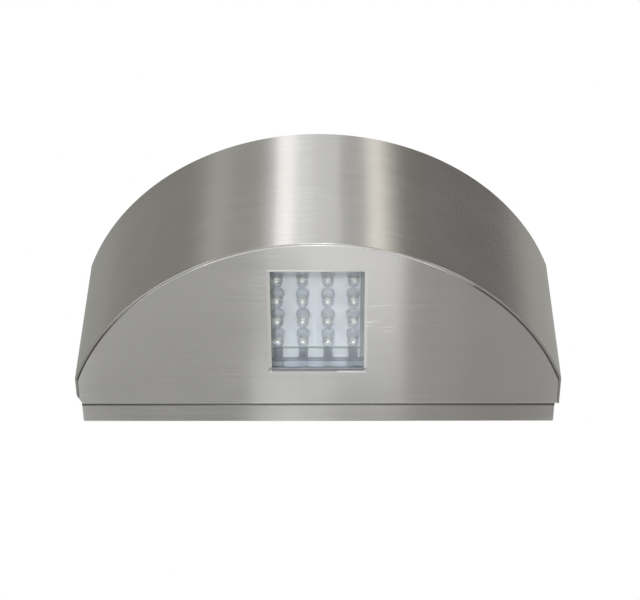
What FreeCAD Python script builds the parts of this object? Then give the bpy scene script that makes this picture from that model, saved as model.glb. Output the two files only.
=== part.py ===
import FreeCAD, Part
import math
import os
import re
import Sketcher

# Half-moon wall light of brushed stainless steel, lit by 16 LEDs behind a window in its underside.
# Millimetres. The wall is the plane Y = 0, the light stands out along -Y, and +Z is up.
# The origin is the middle of the wall tray's back.

SIZES = {
    # Housing: a bent band closed by a half-moon plate below and another above
    "housing_width": 210.0,
    "housing_height": 80.0,
    "projection": 100.0,
    "side_straight": 14.5,
    "sheet_gauge": 1.0,
    "kink_radius": 2.0,
    "seam_gap": 0.15,
    "tab_width": 10.0,
    "tab_height": 6.0,
    "tab_fan_angle": 106.0,
    # Clipped lower left rear corner, where a blade lifts the housing off its tray
    "clip_reach": 2.2,
    "clip_length": 4.6,
    "clip_height": 6.0,
    # Wall tray, which the housing slides over
    "tray_showing": 12.5,
    "tray_depth": 24.0,
    "tray_gap": 0.7,
    "tray_bend": 1.5,
    "corner_slit": 0.5,
    "slot_width": 5.0,
    "slot_length": 10.0,
    "slot_spacing": 120.0,
    # Screws that hold the housing to clinch nuts on the tray
    "housing_screw_spacing": 140.0,
    "housing_screw_radius": 2.0,
    "housing_screw_length": 8.0,
    "housing_screw_head_radius": 3.8,
    "housing_screw_head_height": 2.2,
    "screw_hole_clearance": 0.2,
    "thread_clearance": 0.05,
    "tray_nut_radius": 3.5,
    "tray_nut_height": 3.0,
    "recess_arm": 1.5,
    "recess_width": 0.6,
    "recess_depth": 1.0,
    # Light window and the stack of parts behind it
    "window_width": 39.5,
    "window_length": 53.0,
    "window_setback": 19.3,
    "bevel_width": 1.4,
    "bevel_depth": 0.4,
    "cover_margin": 3.0,
    "gasket_thickness": 1.0,
    "gasket_width": 2.6,
    "cover_thickness": 2.0,
    "board_setback": 17.0,
    "well_relief": 0.8,
    "well_wall": 0.8,
    "ear_reach": 8.4,
    "stud_spread": 40.0,
    "stud_radius": 1.5,
    "stud_end": 1.2,
    "stud_hole_clearance": 0.2,
    "stud_nut_flats": 5.5,
    "stud_nut_height": 2.6,
    "stud_nut_rim_radius": 3.6,
    "stud_nut_rim_height": 0.6,
    # LEDs
    "led_radius": 2.5,
    "led_height": 8.6,
    "led_rim_radius": 2.9,
    "led_rim_height": 1.0,
    "led_side_inset": 3.55,
    "led_shift": 1.0,
    "led_inset": 7.4,
    "led_far_inset": 12.6,
    "led_board_thickness": 1.6,
    "resistor_radius": 1.2,
    "resistor_length": 6.5,
    # Solar panel under the opening in the top plate
    "solar_opening_width": 92.0,
    "solar_opening_length": 38.0,
    "solar_setback": 23.5,
    "solar_margin": 5.0,
    "solar_tape_thickness": 0.8,
    "solar_cover_thickness": 1.0,
    "solar_cell_pitch": 11.4,
    "solar_cell_gap": 0.4,
    "solar_cell_thickness": 0.3,
    "solar_cell_length": 37.0,
    "solar_backing_thickness": 1.2,
    # Moulded panel that closes the housing's back
    "panel_setback": 2.0,
    "panel_thickness": 2.0,
    "panel_side_gap": 1.5,
    "panel_edge_gap": 0.5,
    "panel_corner_radius": 4.0,
    "rib_height": 4.0,
    "rib_thickness": 1.5,
    "rib_offset": 29.0,
    "rib_end_gap": 6.0,
    # Brackets inside the housing, and the screws that hold the panel to them
    "bracket_side_gap": 18.5,
    "bracket_width": 12.0,
    "bracket_foot": 10.0,
    "bracket_case_gap": 2.0,
    "bracket_gauge": 1.2,
    "panel_screw_radius": 1.5,
    "panel_screw_length": 6.0,
    "panel_screw_head_radius": 2.8,
    "panel_screw_head_height": 1.8,
    # Battery case in the panel, its lid, cells and contacts
    "battery_inset": 13.5,
    "cell_radius": 7.1,
    "case_well_gap": 5.75,
    "cell_play": 0.5,
    "cell_nub_radius": 2.75,
    "cell_nub_height": 1.0,
    "contact_room": 3.0,
    "contact_gauge": 0.4,
    "contact_width": 9.0,
    "contact_foot_radius": 3.2,
    "contact_tip_radius": 2.0,
    "contact_play": 0.1,
    "case_wall": 1.5,
    "lid_thickness": 1.5,
    "lid_ledge": 1.0,
    "lid_gap": 0.3,
    "lid_ear_width": 10.0,
    "lid_ear_reach": 8.0,
    "lid_boss_radius": 3.2,
    "lid_boss_height": 7.0,
    # Small self-tapping screws for the lid, the control board and the switch
    "small_screw_radius": 1.1,
    "small_screw_length": 6.0,
    "small_screw_head_radius": 2.2,
    "small_screw_head_height": 1.4,
    # Control board on four posts
    "control_width": 50.0,
    "control_height": 34.0,
    "control_thickness": 1.6,
    "control_side_gap": 15.5,
    "control_centre_drop": 3.0,
    "post_height": 5.0,
    "post_radius": 2.6,
    "post_inset": 4.0,
    "chip_width": 6.0,
    "chip_height": 5.0,
    "chip_thickness": 1.7,
    "coil_radius": 4.5,
    "coil_height": 5.5,
    "coil_neck_radius": 3.4,
    "coil_flange": 1.0,
    "capacitor_radius": 4.0,
    "capacitor_height": 11.0,
    "socket_width": 6.0,
    "socket_height": 5.0,
    "socket_depth": 6.5,
    "socket_pitch": 7.0,
    "socket_inset": 0.5,
    # Slide switch
    "switch_shift": 2.0,
    "switch_centre_rise": 18.0,
    "switch_length": 13.0,
    "switch_height": 7.0,
    "switch_depth": 6.0,
    "switch_ear": 5.0,
    "switch_gauge": 0.6,
    "switch_skirt": 3.0,
    "switch_travel": 4.0,
    "switch_play": 0.15,
    "knob_length": 4.0,
    "knob_height": 3.2,
    "knob_proud": 2.0,
    "carriage_length": 6.0,
    "carriage_height": 4.6,
    "carriage_thickness": 2.2,
    "pin_width": 0.8,
    "pin_thickness": 0.4,
    "pin_length": 4.0,
    "pin_pitch": 4.0,
    # Wires
    "wire_radius": 0.6,
    "wire_pitch": 1.6,
    "battery_lead_rise": 9.5,
    "battery_lead_stub": 8.0,
    "switch_lead_reach": 12.0,
    # How far a cut runs past what it cuts
    "overrun": 1.0,
}

LED_COLUMNS = 4
LED_ROWS = 4
CELLS = 3
SOLAR_CELLS = 8
TAB_COUNT = 5
SOCKET_COUNT = 3
PIN_COUNT = 3
# Two measurements this near each other are the same
NEAR = 1e-4

doc = FreeCAD.newDocument("WallLight")
sheet = doc.addObject("Spreadsheet::Sheet", "Sizes")
for row, (size_name, size) in enumerate(SIZES.items(), start=1):
    sheet.set(f"A{row}", size_name)
    sheet.set(f"B{row}", str(size))
    sheet.setAlias(f"B{row}", size_name)
doc.recompute()

SIZE_WORDS = re.compile(r"\b(" + "|".join(sorted(SIZES, key=len, reverse=True)) + r")\b")
Vector = FreeCAD.Vector
PIECES = []


def bound(expression):
    """The expression with each size named as the sheet's."""
    return SIZE_WORDS.sub(r"Sizes.\1", str(expression))


def value(expression):
    """What the expression comes to with the sheet's present sizes."""
    result = sheet.evalExpression(str(expression))
    return float(getattr(result, "Value", result))


def opposite(expression):
    return f"(-({expression}))"


# Places that several pieces share, as expressions over the sizes

HOUSING_BACK = "(-tray_showing)"
ARC_RISE = "(projection - tray_showing - side_straight)"
ARC_RADIUS = f"((housing_width ^ 2 / 4 + {ARC_RISE} ^ 2) / (2 * {ARC_RISE}))"
ARC_CENTRE = f"({ARC_RADIUS} - projection)"

BASE = "(-housing_height / 2)"
FLOOR = "(-housing_height / 2 + sheet_gauge)"
ROOF = "(housing_height / 2 - sheet_gauge)"

TRAY_WIDTH = "(housing_width - 2 * (sheet_gauge + tray_gap))"
TRAY_HEIGHT = "(housing_height - 2 * (sheet_gauge + tray_gap))"
TRAY_TOP = f"({TRAY_HEIGHT} / 2)"
SLOT_XS = ("(-slot_spacing / 2)", "(slot_spacing / 2)")

HOUSING_SCREW_XS = ("(-housing_screw_spacing / 2)", "(housing_screw_spacing / 2)")
HOUSING_SCREW_Y = "(-(tray_showing + tray_depth) / 2)"
HOUSING_SCREW_HOLE = "(housing_screw_radius + screw_hole_clearance)"
NUT_UNDER = f"({TRAY_TOP} - sheet_gauge - tray_nut_height)"

WINDOW_Y = "(-(tray_showing + window_setback + window_length / 2))"
COVER_HALF_LENGTH = "(window_length / 2 + cover_margin)"
WELL_HALF_WIDTH = "(window_width / 2 + well_relief)"
WELL_HALF_LENGTH = "(window_length / 2 + well_relief)"
STUD_X = f"({WELL_HALF_WIDTH} + well_wall + ear_reach / 2)"
STUD_Y = "(stud_spread / 2)"
STUD_HOLE = "(stud_radius + stud_hole_clearance)"
EAR_X = f"({WELL_HALF_WIDTH} + well_wall + ear_reach)"
GASKET_TOP = f"({FLOOR} + gasket_thickness)"
COVER_TOP = f"({GASKET_TOP} + cover_thickness)"
LED_SEAT = f"({BASE} + board_setback)"
LED_BOARD_TOP = f"({LED_SEAT} + led_board_thickness)"
LED_PITCH_ACROSS = f"((window_width - 2 * led_side_inset) / {LED_COLUMNS - 1})"
LED_PITCH_ALONG = f"((window_length - led_inset - led_far_inset) / {LED_ROWS - 1})"
LED_FIRST_X = "(led_side_inset - led_shift - window_width / 2)"
LED_FIRST_Y = f"({WINDOW_Y} + window_length / 2 - led_inset)"

SOLAR_Y = "(-(tray_showing + solar_setback + solar_opening_length / 2))"
SOLAR_HALF_WIDTH = "(solar_opening_width / 2 + solar_margin)"
SOLAR_HALF_LENGTH = "(solar_opening_length / 2 + solar_margin)"
TAPE_UNDER = f"({ROOF} - solar_tape_thickness)"
COVER_UNDER = f"({TAPE_UNDER} - solar_cover_thickness)"
CELL_UNDER = f"({COVER_UNDER} - solar_cell_thickness)"
BACKING_UNDER = f"({CELL_UNDER} - solar_backing_thickness)"

PANEL_BACK = "(tray_depth + panel_setback)"
PANEL_FRONT = f"({PANEL_BACK} + panel_thickness)"
PANEL_HALF_WIDTH = "(housing_width / 2 - sheet_gauge - panel_side_gap)"
PANEL_HALF_HEIGHT = "(housing_height / 2 - sheet_gauge - panel_edge_gap)"

CELL_PITCH = "(2 * cell_radius + cell_play)"
CASE_LEFT = "(battery_inset - housing_width / 2)"
# The cells take up the room that is left between the housing's side and the light well
CELL_LENGTH = f"(-{CASE_LEFT} - 2 * contact_room - {EAR_X} - case_well_gap)"
CASE_RIGHT = f"({CASE_LEFT} + {CELL_LENGTH} + 2 * contact_room)"
CASE_TOP = f"({CELLS} * {CELL_PITCH} / 2)"
LID_INSIDE = f"({PANEL_BACK} + lid_thickness)"
CELL_DEPTH = f"({LID_INSIDE} + cell_play + cell_radius)"
CASE_FLOOR = f"({CELL_DEPTH} + cell_radius + cell_play)"
LID_SCREW_X = f"({CASE_RIGHT} + lid_ledge + lid_ear_reach / 2)"
LID_EAR_END = f"({CASE_RIGHT} + lid_ledge + lid_ear_reach)"

BRACKET_X = f"({PANEL_HALF_WIDTH} - bracket_side_gap)"
BRACKET_UPRIGHT = f"({ROOF} - {CASE_TOP} - case_wall - bracket_case_gap)"
PANEL_SCREW_Z = f"({ROOF} - {BRACKET_UPRIGHT} / 2)"
RIB_HALF_LENGTH = f"({BRACKET_X} - bracket_width / 2 - rib_end_gap)"
PILOT = "(small_screw_radius + thread_clearance)"
SMALL_SCREW_HOLE = "(small_screw_radius + screw_hole_clearance)"

CONTROL_X = f"({PANEL_HALF_WIDTH} - control_side_gap - control_width / 2)"
CONTROL_Z = "(-control_centre_drop)"
CONTROL_BACK = f"({PANEL_FRONT} + post_height)"
CONTROL_FRONT = f"({CONTROL_BACK} + control_thickness)"
SOCKET_FACE = f"({CONTROL_X} - control_width / 2 + socket_inset)"
SOCKET_Y = f"(-{CONTROL_FRONT} - socket_depth / 2)"
# Where the wires turn towards the sockets, as far from them as the sockets are apart
BEND_X = f"({SOCKET_FACE} - socket_pitch)"

SWITCH_X = f"({CONTROL_X} - switch_shift)"
SWITCH_Z = "switch_centre_rise"
SLOT_HALF = "(knob_length / 2 + switch_travel / 2 + switch_play)"
KNOB_SLOT_HALF = "(knob_height / 2 + 2 * switch_play)"
CAVITY_HALF = "(carriage_length / 2 + switch_travel / 2 + switch_play)"
FRAME_FRONT = f"({PANEL_FRONT} + switch_gauge)"
BASE_FRONT = f"({FRAME_FRONT} + switch_depth)"
KNOB_X = f"({SWITCH_X} - switch_travel / 2)"


# Building blocks


def origin_plane(body, role):
    return next(part for part in body.Origin.OriginFeatures if part.Role == role)


def piece(label):
    """A new body for one sub-part."""
    body = doc.addObject("PartDesign::Body", "Body")
    body.Label = label
    PIECES.append(body)
    return body


def rectangle(left, right, low, high):
    return [(left, low), (right, low), (right, high), (left, high)]


def centred(x, y, half_width, half_height):
    """A rectangle about a centre."""
    return rectangle(
        f"({x} - {half_width})",
        f"({x} + {half_width})",
        f"({y} - {half_height})",
        f"({y} + {half_height})",
    )


def circle(x, y, radius):
    return ("circle", x, y, radius)


def tie(sketch, kind, geometry, point, expression):
    """Holds one coordinate of a point to an expression."""
    place = value(expression)
    if abs(place) < NEAR:
        axis = -2 if kind == "DistanceX" else -1
        sketch.addConstraint(Sketcher.Constraint("PointOnObject", geometry, point, axis))
        return
    number = sketch.addConstraint(Sketcher.Constraint(kind, -1, 1, geometry, point, place))
    sketch.setExpression(f"Constraints[{number}]", bound(expression))


def draw_circle(sketch, x, y, radius):
    centre = Vector(value(x), value(y), 0)
    geometry = sketch.addGeometry(Part.Circle(centre, Vector(0, 0, 1), value(radius)))
    tie(sketch, "DistanceX", geometry, 3, x)
    tie(sketch, "DistanceY", geometry, 3, y)
    number = sketch.addConstraint(Sketcher.Constraint("Radius", geometry, value(radius)))
    sketch.setExpression(f"Constraints[{number}]", bound(radius))


def arc_between(start, end, radius):
    """The shorter arc that runs clockwise from start to end."""
    half = (end - start) * 0.5
    rise = math.sqrt(max(radius**2 - half.Length**2, 0))
    side = Vector(half.y, -half.x, 0).normalize()
    centre = start + half + side * rise
    first = math.atan2(end.y - centre.y, end.x - centre.x)
    last = math.atan2(start.y - centre.y, start.x - centre.x)
    return Part.ArcOfCircle(Part.Circle(centre, Vector(0, 0, 1), radius), first, last)


def draw_loop(sketch, corners):
    """A closed loop. A corner's third item, if it has one, is the radius of a clockwise arc to the next."""
    points = [Vector(value(corner[0]), value(corner[1]), 0) for corner in corners]
    ends = []
    for here, corner in enumerate(corners):
        there = (here + 1) % len(corners)
        if len(corner) == 3:
            curve = arc_between(points[here], points[there], value(corner[2]))
            geometry = sketch.addGeometry(curve)
            number = sketch.addConstraint(Sketcher.Constraint("Radius", geometry, curve.Radius))
            sketch.setExpression(f"Constraints[{number}]", bound(corner[2]))
            ends.append((geometry, 2, 1))
        else:
            geometry = sketch.addGeometry(Part.LineSegment(points[here], points[there]))
            ends.append((geometry, 1, 2))
    for here, corner in enumerate(corners):
        geometry, start, end = ends[here]
        following, next_start, next_end = ends[(here + 1) % len(corners)]
        sketch.addConstraint(Sketcher.Constraint("Coincident", geometry, end, following, next_start))
        tie(sketch, "DistanceX", geometry, start, corner[0])
        tie(sketch, "DistanceY", geometry, start, corner[1])


def sketch_on(body, name, role, loops, level="0", origin=("0", "0")):
    """A sketch on an origin plane of the body, moved along its normal by level and within it by origin."""
    sketch = body.newObject("Sketcher::SketchObject", name)
    sketch.AttachmentSupport = [(origin_plane(body, role), "")]
    sketch.MapMode = "FlatFace"
    sketch.setExpression("AttachmentOffset.Base.x", bound(origin[0]))
    sketch.setExpression("AttachmentOffset.Base.y", bound(origin[1]))
    sketch.setExpression("AttachmentOffset.Base.z", bound(level))
    for loop in loops:
        if isinstance(loop, tuple):
            draw_circle(sketch, *loop[1:])
        else:
            draw_loop(sketch, loop)
    return sketch


def settle(body, feature, before, grows):
    """Recomputes, and makes sure that the feature added or took away material."""
    doc.recompute()
    if "Invalid" in feature.State:
        raise ValueError(f"{body.Label}: {feature.Name} failed")
    change = body.Shape.Volume - before
    if (change if grows else -change) <= 0:
        raise ValueError(f"{body.Label}: {feature.Name} changed the volume by {change:.4f}")
    return feature


def volume_now(body):
    return body.Shape.Volume if body.Tip else 0.0


def pad(body, name, role, loops, length, level="0", origin=("0", "0")):
    """Adds the loops' area from level on, along the plane's normal."""
    before = volume_now(body)
    feature = body.newObject("PartDesign::Pad", f"{name}Pad")
    feature.Profile = sketch_on(body, f"{name}Sketch", role, loops, level, origin)
    feature.setExpression("Length", bound(length))
    body.Tip = feature
    return settle(body, feature, before, True)


def pocket(body, name, role, loops, length, level="0", origin=("0", "0")):
    """Takes the loops' area away from level on, along the plane's normal."""
    before = volume_now(body)
    feature = body.newObject("PartDesign::Pocket", f"{name}Pocket")
    feature.Profile = sketch_on(body, f"{name}Sketch", role, loops, level, origin)
    feature.Reversed = True
    feature.setExpression("Length", bound(length))
    body.Tip = feature
    return settle(body, feature, before, False)


def revolve(body, name, role, loops, level="0", origin=("0", "0")):
    """Turns the loops about the sketch's upright axis."""
    before = volume_now(body)
    feature = body.newObject("PartDesign::Revolution", f"{name}Revolution")
    sketch = sketch_on(body, f"{name}Sketch", role, loops, level, origin)
    feature.Profile = sketch
    feature.ReferenceAxis = (sketch, ["V_Axis"])
    body.Tip = feature
    return settle(body, feature, before, True)


def taper(body, name, role, first, last, length, level="0"):
    """Takes away what lies between a loop at level and another, length further along the plane's normal."""
    before = volume_now(body)
    feature = body.newObject("PartDesign::SubtractiveLoft", f"{name}Loft")
    feature.Profile = sketch_on(body, f"{name}First", role, [first], level)
    feature.Sections = [sketch_on(body, f"{name}Last", role, [last], f"({level} + {length})")]
    body.Tip = feature
    return settle(body, feature, before, False)


def names_where(word, parts, wanted):
    """The numbered names of the edges or faces that pass a test."""
    return [f"{word}{number}" for number, part in enumerate(parts, start=1) if wanted(part)]


def fillet(body, name, wanted, radius):
    doc.recompute()
    base = body.Tip
    feature = body.newObject("PartDesign::Fillet", name)
    feature.Base = (base, names_where("Edge", base.Shape.Edges, wanted))
    feature.setExpression("Radius", bound(radius))
    body.Tip = feature
    doc.recompute()
    return feature


def copies(body, name, originals, steps):
    """Repeats features in rows: each step is an origin axis, a spacing and a count."""
    before = volume_now(body)
    pattern = body.newObject("PartDesign::MultiTransform", name)
    rows = []
    for axis, spacing, count in steps:
        line = body.newObject("PartDesign::LinearPattern", f"{name}{axis[0]}")
        line.Direction = (origin_plane(body, axis), [""])
        line.Mode = "Spacing"
        line.setExpression("Offset", bound(spacing))
        line.Occurrences = count
        rows.append(line)
    pattern.Originals = originals
    pattern.Transformations = rows
    body.Tip = pattern
    return settle(body, pattern, before, True)


def mirrors(body, name, originals, roles):
    """Repeats features across origin planes."""
    before = volume_now(body)
    pattern = body.newObject("PartDesign::MultiTransform", name)
    planes = []
    for role in roles:
        mirror = body.newObject("PartDesign::Mirrored", f"{name}{role[:2]}")
        mirror.MirrorPlane = (origin_plane(body, role), [""])
        planes.append(mirror)
    pattern.Originals = originals
    pattern.Transformations = planes
    body.Tip = pattern
    return settle(body, pattern, before, True)


def place(body, x="0", y="0", z="0"):
    body.setExpression("Placement.Base.x", bound(x))
    body.setExpression("Placement.Base.y", bound(y))
    body.setExpression("Placement.Base.z", bound(z))


def code_piece(label, shape):
    """A sub-part whose shape comes straight from Part's functions."""
    feature = doc.addObject("Part::Feature", "Feature")
    feature.Label = label
    feature.Shape = shape
    feature.Placement = FreeCAD.Placement()
    PIECES.append(feature)
    return feature


def half_moon(inset, back=HOUSING_BACK):
    """The housing's outline, drawn in by inset, from its rear edge round the arc and back."""
    half_width = f"(housing_width / 2 - {inset})"
    radius = f"({ARC_RADIUS} - {inset})"
    kink = f"({ARC_CENTRE} - sqrt({radius} ^ 2 - {half_width} ^ 2))"
    return [
        (half_width, back),
        (half_width, kink, radius),
        (opposite(half_width), kink),
        (opposite(half_width), back),
    ]


def cross(x, y):
    """The cross recess in a screw's head."""
    arm, half = "recess_arm", "(recess_width / 2)"
    turns = [
        (arm, opposite(half)),
        (arm, half),
        (half, half),
        (half, arm),
        (opposite(half), arm),
        (opposite(half), half),
        (opposite(arm), half),
        (opposite(arm), opposite(half)),
        (opposite(half), opposite(half)),
        (opposite(half), opposite(arm)),
        (half, opposite(arm)),
        (half, opposite(half)),
    ]
    return [(f"({x} + {dx})", f"({y} + {dy})") for dx, dy in turns]


def along(axis):
    """Whether an edge is straight and runs along this axis."""

    def test(edge):
        if edge.Curve.TypeId != "Part::GeomLine":
            return False
        return edge.tangentAt(edge.FirstParameter).cross(axis).Length < NEAR

    return test


def flat_at(axis, level):
    """Whether an edge or a face lies wholly at this level of X, Y or Z."""

    def test(part):
        return all(abs(getattr(part.BoundBox, axis + end) - level) < NEAR for end in ("Min", "Max"))

    return test


# Housing


def make_front_band():
    """One strip of sheet, bent round the arc and kinked into two straight sides."""
    body = piece("front_band")
    pad(body, "Outside", "XY_Plane", [half_moon("0")], "housing_height", BASE)
    inside = half_moon("sheet_gauge", f"({HOUSING_BACK} + overrun)")
    through = "(housing_height + 2 * overrun)"
    pocket(body, "Inside", "XY_Plane", [inside], through, f"({BASE} - overrun)")
    upright = along(Vector(0, 0, 1))
    outer = value("housing_width / 2")
    inner = value("housing_width / 2 - sheet_gauge")
    back = value(HOUSING_BACK)

    def kink_at(half_width):
        def test(edge):
            point = edge.Vertexes[0].Point
            at_side = abs(abs(point.x) - half_width) < NEAR
            return upright(edge) and at_side and abs(point.y - back) > NEAR

        return test

    fillet(body, "OuterKinks", kink_at(outer), "kink_radius")
    fillet(body, "InnerKinks", kink_at(inner), "(kink_radius - sheet_gauge)")
    pocket(body, "Clip", "XY_Plane", [clip()], "(clip_height + overrun)", f"({BASE} - overrun)")


def clip():
    """The triangle cut off the lower left rear corner."""
    left = "(-housing_width / 2)"
    return [
        (f"({left} - overrun)", f"({HOUSING_BACK} + overrun)"),
        (f"({left} - overrun)", f"({HOUSING_BACK} - clip_length * (1 + overrun / clip_reach))"),
        (f"({left} + clip_reach * (1 + overrun / clip_length))", f"({HOUSING_BACK} + overrun)"),
    ]


def make_plate(label, hole):
    """A half-moon plate inside the band, lying face down at Z = 0, with weld tabs along its arc."""
    body = piece(label)
    pad(body, "Sheet", "XY_Plane", [half_moon("(sheet_gauge + seam_gap)")], "sheet_gauge")
    outside = f"({ARC_RADIUS} - sheet_gauge - seam_gap)"
    turned = "(tab_fan_angle / 2)"
    reach = f"sqrt({outside} ^ 2 - tab_width ^ 2 / 4)"
    inner = f"sqrt(({outside} - sheet_gauge) ^ 2 - tab_width ^ 2 / 4)"
    section = [
        ("(tab_width / 2)", opposite(reach), outside),
        ("(-tab_width / 2)", opposite(reach)),
        ("(-tab_width / 2)", opposite(inner)),
        ("(tab_width / 2)", opposite(inner)),
    ]
    tab = pad(body, "Tab", "XY_Plane", [section], "tab_height", "sheet_gauge", ("0", ARC_CENTRE))
    tab.Profile[0].setExpression("AttachmentOffset.Rotation.Angle", bound(turned))
    tab.Profile[0].setExpression("AttachmentOffset.Rotation.Axis.z", "-1")
    before = volume_now(body)
    fan = body.newObject("PartDesign::PolarPattern", "TabFan")
    fan.Originals = [tab]
    fan.Axis = (tab.Profile[0], ["N_Axis"])
    fan.setExpression("Angle", bound("tab_fan_angle"))
    fan.Occurrences = TAB_COUNT
    body.Tip = fan
    settle(body, fan, before, True)
    pocket(body, "Opening", "XY_Plane", [hole], "(sheet_gauge + 2 * overrun)", "(-overrun)")
    return body


def make_bottom_plate():
    window = centred("0", WINDOW_Y, "(window_width / 2)", "(window_length / 2)")
    body = make_plate("bottom_plate", window)
    wide = centred("0", WINDOW_Y, "(window_width / 2 + bevel_width)", "(window_length / 2 + bevel_width)")
    taper(body, "CoinedEdge", "XY_Plane", wide, window, "bevel_depth")
    pocket(body, "Clip", "XY_Plane", [clip()], "(clip_height + overrun)", "(-overrun)")
    place(body, z=BASE)


def make_top_plate():
    opening = centred("0", SOLAR_Y, "(solar_opening_width / 2)", "(solar_opening_length / 2)")
    body = make_plate("top_plate", opening)
    holes = [circle(x, HOUSING_SCREW_Y, HOUSING_SCREW_HOLE) for x in HOUSING_SCREW_XS]
    pocket(body, "ScrewHoles", "XY_Plane", holes, "(sheet_gauge + 2 * overrun)", "(-overrun)")
    body.Placement = FreeCAD.Placement(Vector(0, 0, 0), FreeCAD.Rotation(Vector(0, 1, 0), 180))
    place(body, z=opposite(BASE))


def make_housing_screws():
    """Two pan-head screws, down through the top plate."""
    body = piece("housing_screws")
    heads = [circle(x, HOUSING_SCREW_Y, "housing_screw_head_radius") for x in HOUSING_SCREW_XS]
    shanks = [circle(x, HOUSING_SCREW_Y, "housing_screw_radius") for x in HOUSING_SCREW_XS]
    top = opposite(BASE)
    pad(body, "Shanks", "XY_Plane", shanks, "housing_screw_length", f"({top} - housing_screw_length)")
    pad(body, "Heads", "XY_Plane", heads, "housing_screw_head_height", top)
    crown = flat_at("Z", value(f"{top} + housing_screw_head_height"))
    fillet(body, "Crowns", crown, "(housing_screw_head_height / 2)")
    recesses = [cross(x, HOUSING_SCREW_Y) for x in HOUSING_SCREW_XS]
    level = f"({top} + housing_screw_head_height - recess_depth)"
    pocket(body, "Recesses", "XY_Plane", recesses, "(recess_depth + overrun)", level)


def make_tray_nuts():
    """Two clinch nuts, pressed to the underside of the tray's top flange."""
    body = piece("tray_nuts")
    rounds = [circle(x, HOUSING_SCREW_Y, "tray_nut_radius") for x in HOUSING_SCREW_XS]
    bore = "(housing_screw_radius + thread_clearance)"
    bores = [circle(x, HOUSING_SCREW_Y, bore) for x in HOUSING_SCREW_XS]
    pad(body, "Rounds", "XY_Plane", rounds, "tray_nut_height", NUT_UNDER)
    pocket(body, "Bores", "XY_Plane", bores, "(tray_nut_height + 2 * overrun)", f"({NUT_UNDER} - overrun)")


# Wall tray


def make_wall_tray():
    """A folded tray: its back on the wall, four flanges forward, slit at the corners."""
    body = piece("wall_tray")
    outside = centred("0", "0", f"{TRAY_WIDTH} / 2", f"{TRAY_HEIGHT} / 2")
    pad(body, "Outside", "XZ_Plane", [outside], "tray_depth")
    fillet(body, "Bends", flat_at("Y", 0), "tray_bend")
    base = body.Tip
    hollow = body.newObject("PartDesign::Thickness", "Hollow")
    open_side = flat_at("Y", -value("tray_depth"))
    hollow.Base = (base, names_where("Face", base.Shape.Faces, open_side))
    hollow.setExpression("Value", bound("sheet_gauge"))
    hollow.Reversed = True
    body.Tip = hollow
    doc.recompute()
    slits = []
    for side in ("-", ""):
        for level in ("-", ""):
            x = f"({side}1 * {TRAY_WIDTH} / 2)"
            z = f"({level}1 * ({TRAY_HEIGHT} / 2 - sheet_gauge - corner_slit / 2))"
            slits.append(centred(x, z, "(sheet_gauge + overrun)", "(corner_slit / 2)"))
    pocket(body, "Slits", "XZ_Plane", slits, "(tray_depth + overrun)", "(tray_bend + sheet_gauge)")
    straight = "(slot_length / 2 - slot_width / 2)"
    ends = [circle(f"({x} {side} {straight})", "0", "(slot_width / 2)") for x in SLOT_XS for side in "-+"]
    middles = [centred(x, "0", straight, "(slot_width / 2)") for x in SLOT_XS]
    pocket(body, "SlotEnds", "XZ_Plane", ends, "(sheet_gauge + 2 * overrun)", "(-overrun)")
    pocket(body, "SlotMiddles", "XZ_Plane", middles, "(sheet_gauge + 2 * overrun)", "(-overrun)")
    holes = [circle(x, HOUSING_SCREW_Y, HOUSING_SCREW_HOLE) for x in HOUSING_SCREW_XS]
    flange_under = f"({TRAY_TOP} - sheet_gauge - overrun)"
    pocket(body, "ScrewHoles", "XY_Plane", holes, "(sheet_gauge + 2 * overrun)", flange_under)


# Light window stack: gasket, clear cover, bright well and LED board on four studs


def stud_circles(radius):
    return [
        circle(f"({sx}{STUD_X})", f"({WINDOW_Y} {sy} {STUD_Y})", radius)
        for sx in ("-", "")
        for sy in ("-", "+")
    ]


def window_sheet(label, level, thickness, half_length, hole_half_width=None, hole_half_length=None):
    """A flat sheet of the stack, as wide as the ears, with stud holes and perhaps a middle hole."""
    body = piece(label)
    pad(body, "Sheet", "XY_Plane", [centred("0", WINDOW_Y, EAR_X, half_length)], thickness, level)
    cuts = stud_circles(STUD_HOLE)
    if hole_half_width:
        cuts.append(centred("0", WINDOW_Y, hole_half_width, hole_half_length))
    pocket(body, "Holes", "XY_Plane", cuts, f"({thickness} + 2 * overrun)", f"({level} - overrun)")
    return body


def make_lens_gasket():
    inner = "(cover_margin - gasket_width)"
    window_sheet(
        "lens_gasket",
        FLOOR,
        "gasket_thickness",
        COVER_HALF_LENGTH,
        f"(window_width / 2 + {inner})",
        f"(window_length / 2 + {inner})",
    )


def make_lens_cover():
    window_sheet("lens_cover", GASKET_TOP, "cover_thickness", COVER_HALF_LENGTH)


def make_light_well():
    """A bright folded frame: four walls between two pairs of ears."""
    body = piece("light_well")
    height = f"({LED_SEAT} - {COVER_TOP})"
    outer_width = f"({WELL_HALF_WIDTH} + well_wall)"
    outer_length = f"({WELL_HALF_LENGTH} + well_wall)"
    pad(body, "Walls", "XY_Plane", [centred("0", WINDOW_Y, outer_width, outer_length)], height, COVER_TOP)
    ears = centred("0", WINDOW_Y, EAR_X, outer_length)
    pad(body, "LowEars", "XY_Plane", [ears], "well_wall", COVER_TOP)
    pad(body, "HighEars", "XY_Plane", [ears], "well_wall", f"({LED_SEAT} - well_wall)")
    shaft = [centred("0", WINDOW_Y, WELL_HALF_WIDTH, WELL_HALF_LENGTH)]
    pocket(body, "Shaft", "XY_Plane", shaft, f"({height} + 2 * overrun)", f"({COVER_TOP} - overrun)")
    cut = f"({height} + 2 * overrun)"
    pocket(body, "StudHoles", "XY_Plane", stud_circles(STUD_HOLE), cut, f"({COVER_TOP} - overrun)")


def make_led_board():
    outer_length = f"({WELL_HALF_LENGTH} + well_wall)"
    window_sheet("led_board", LED_SEAT, "led_board_thickness", outer_length)


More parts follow.
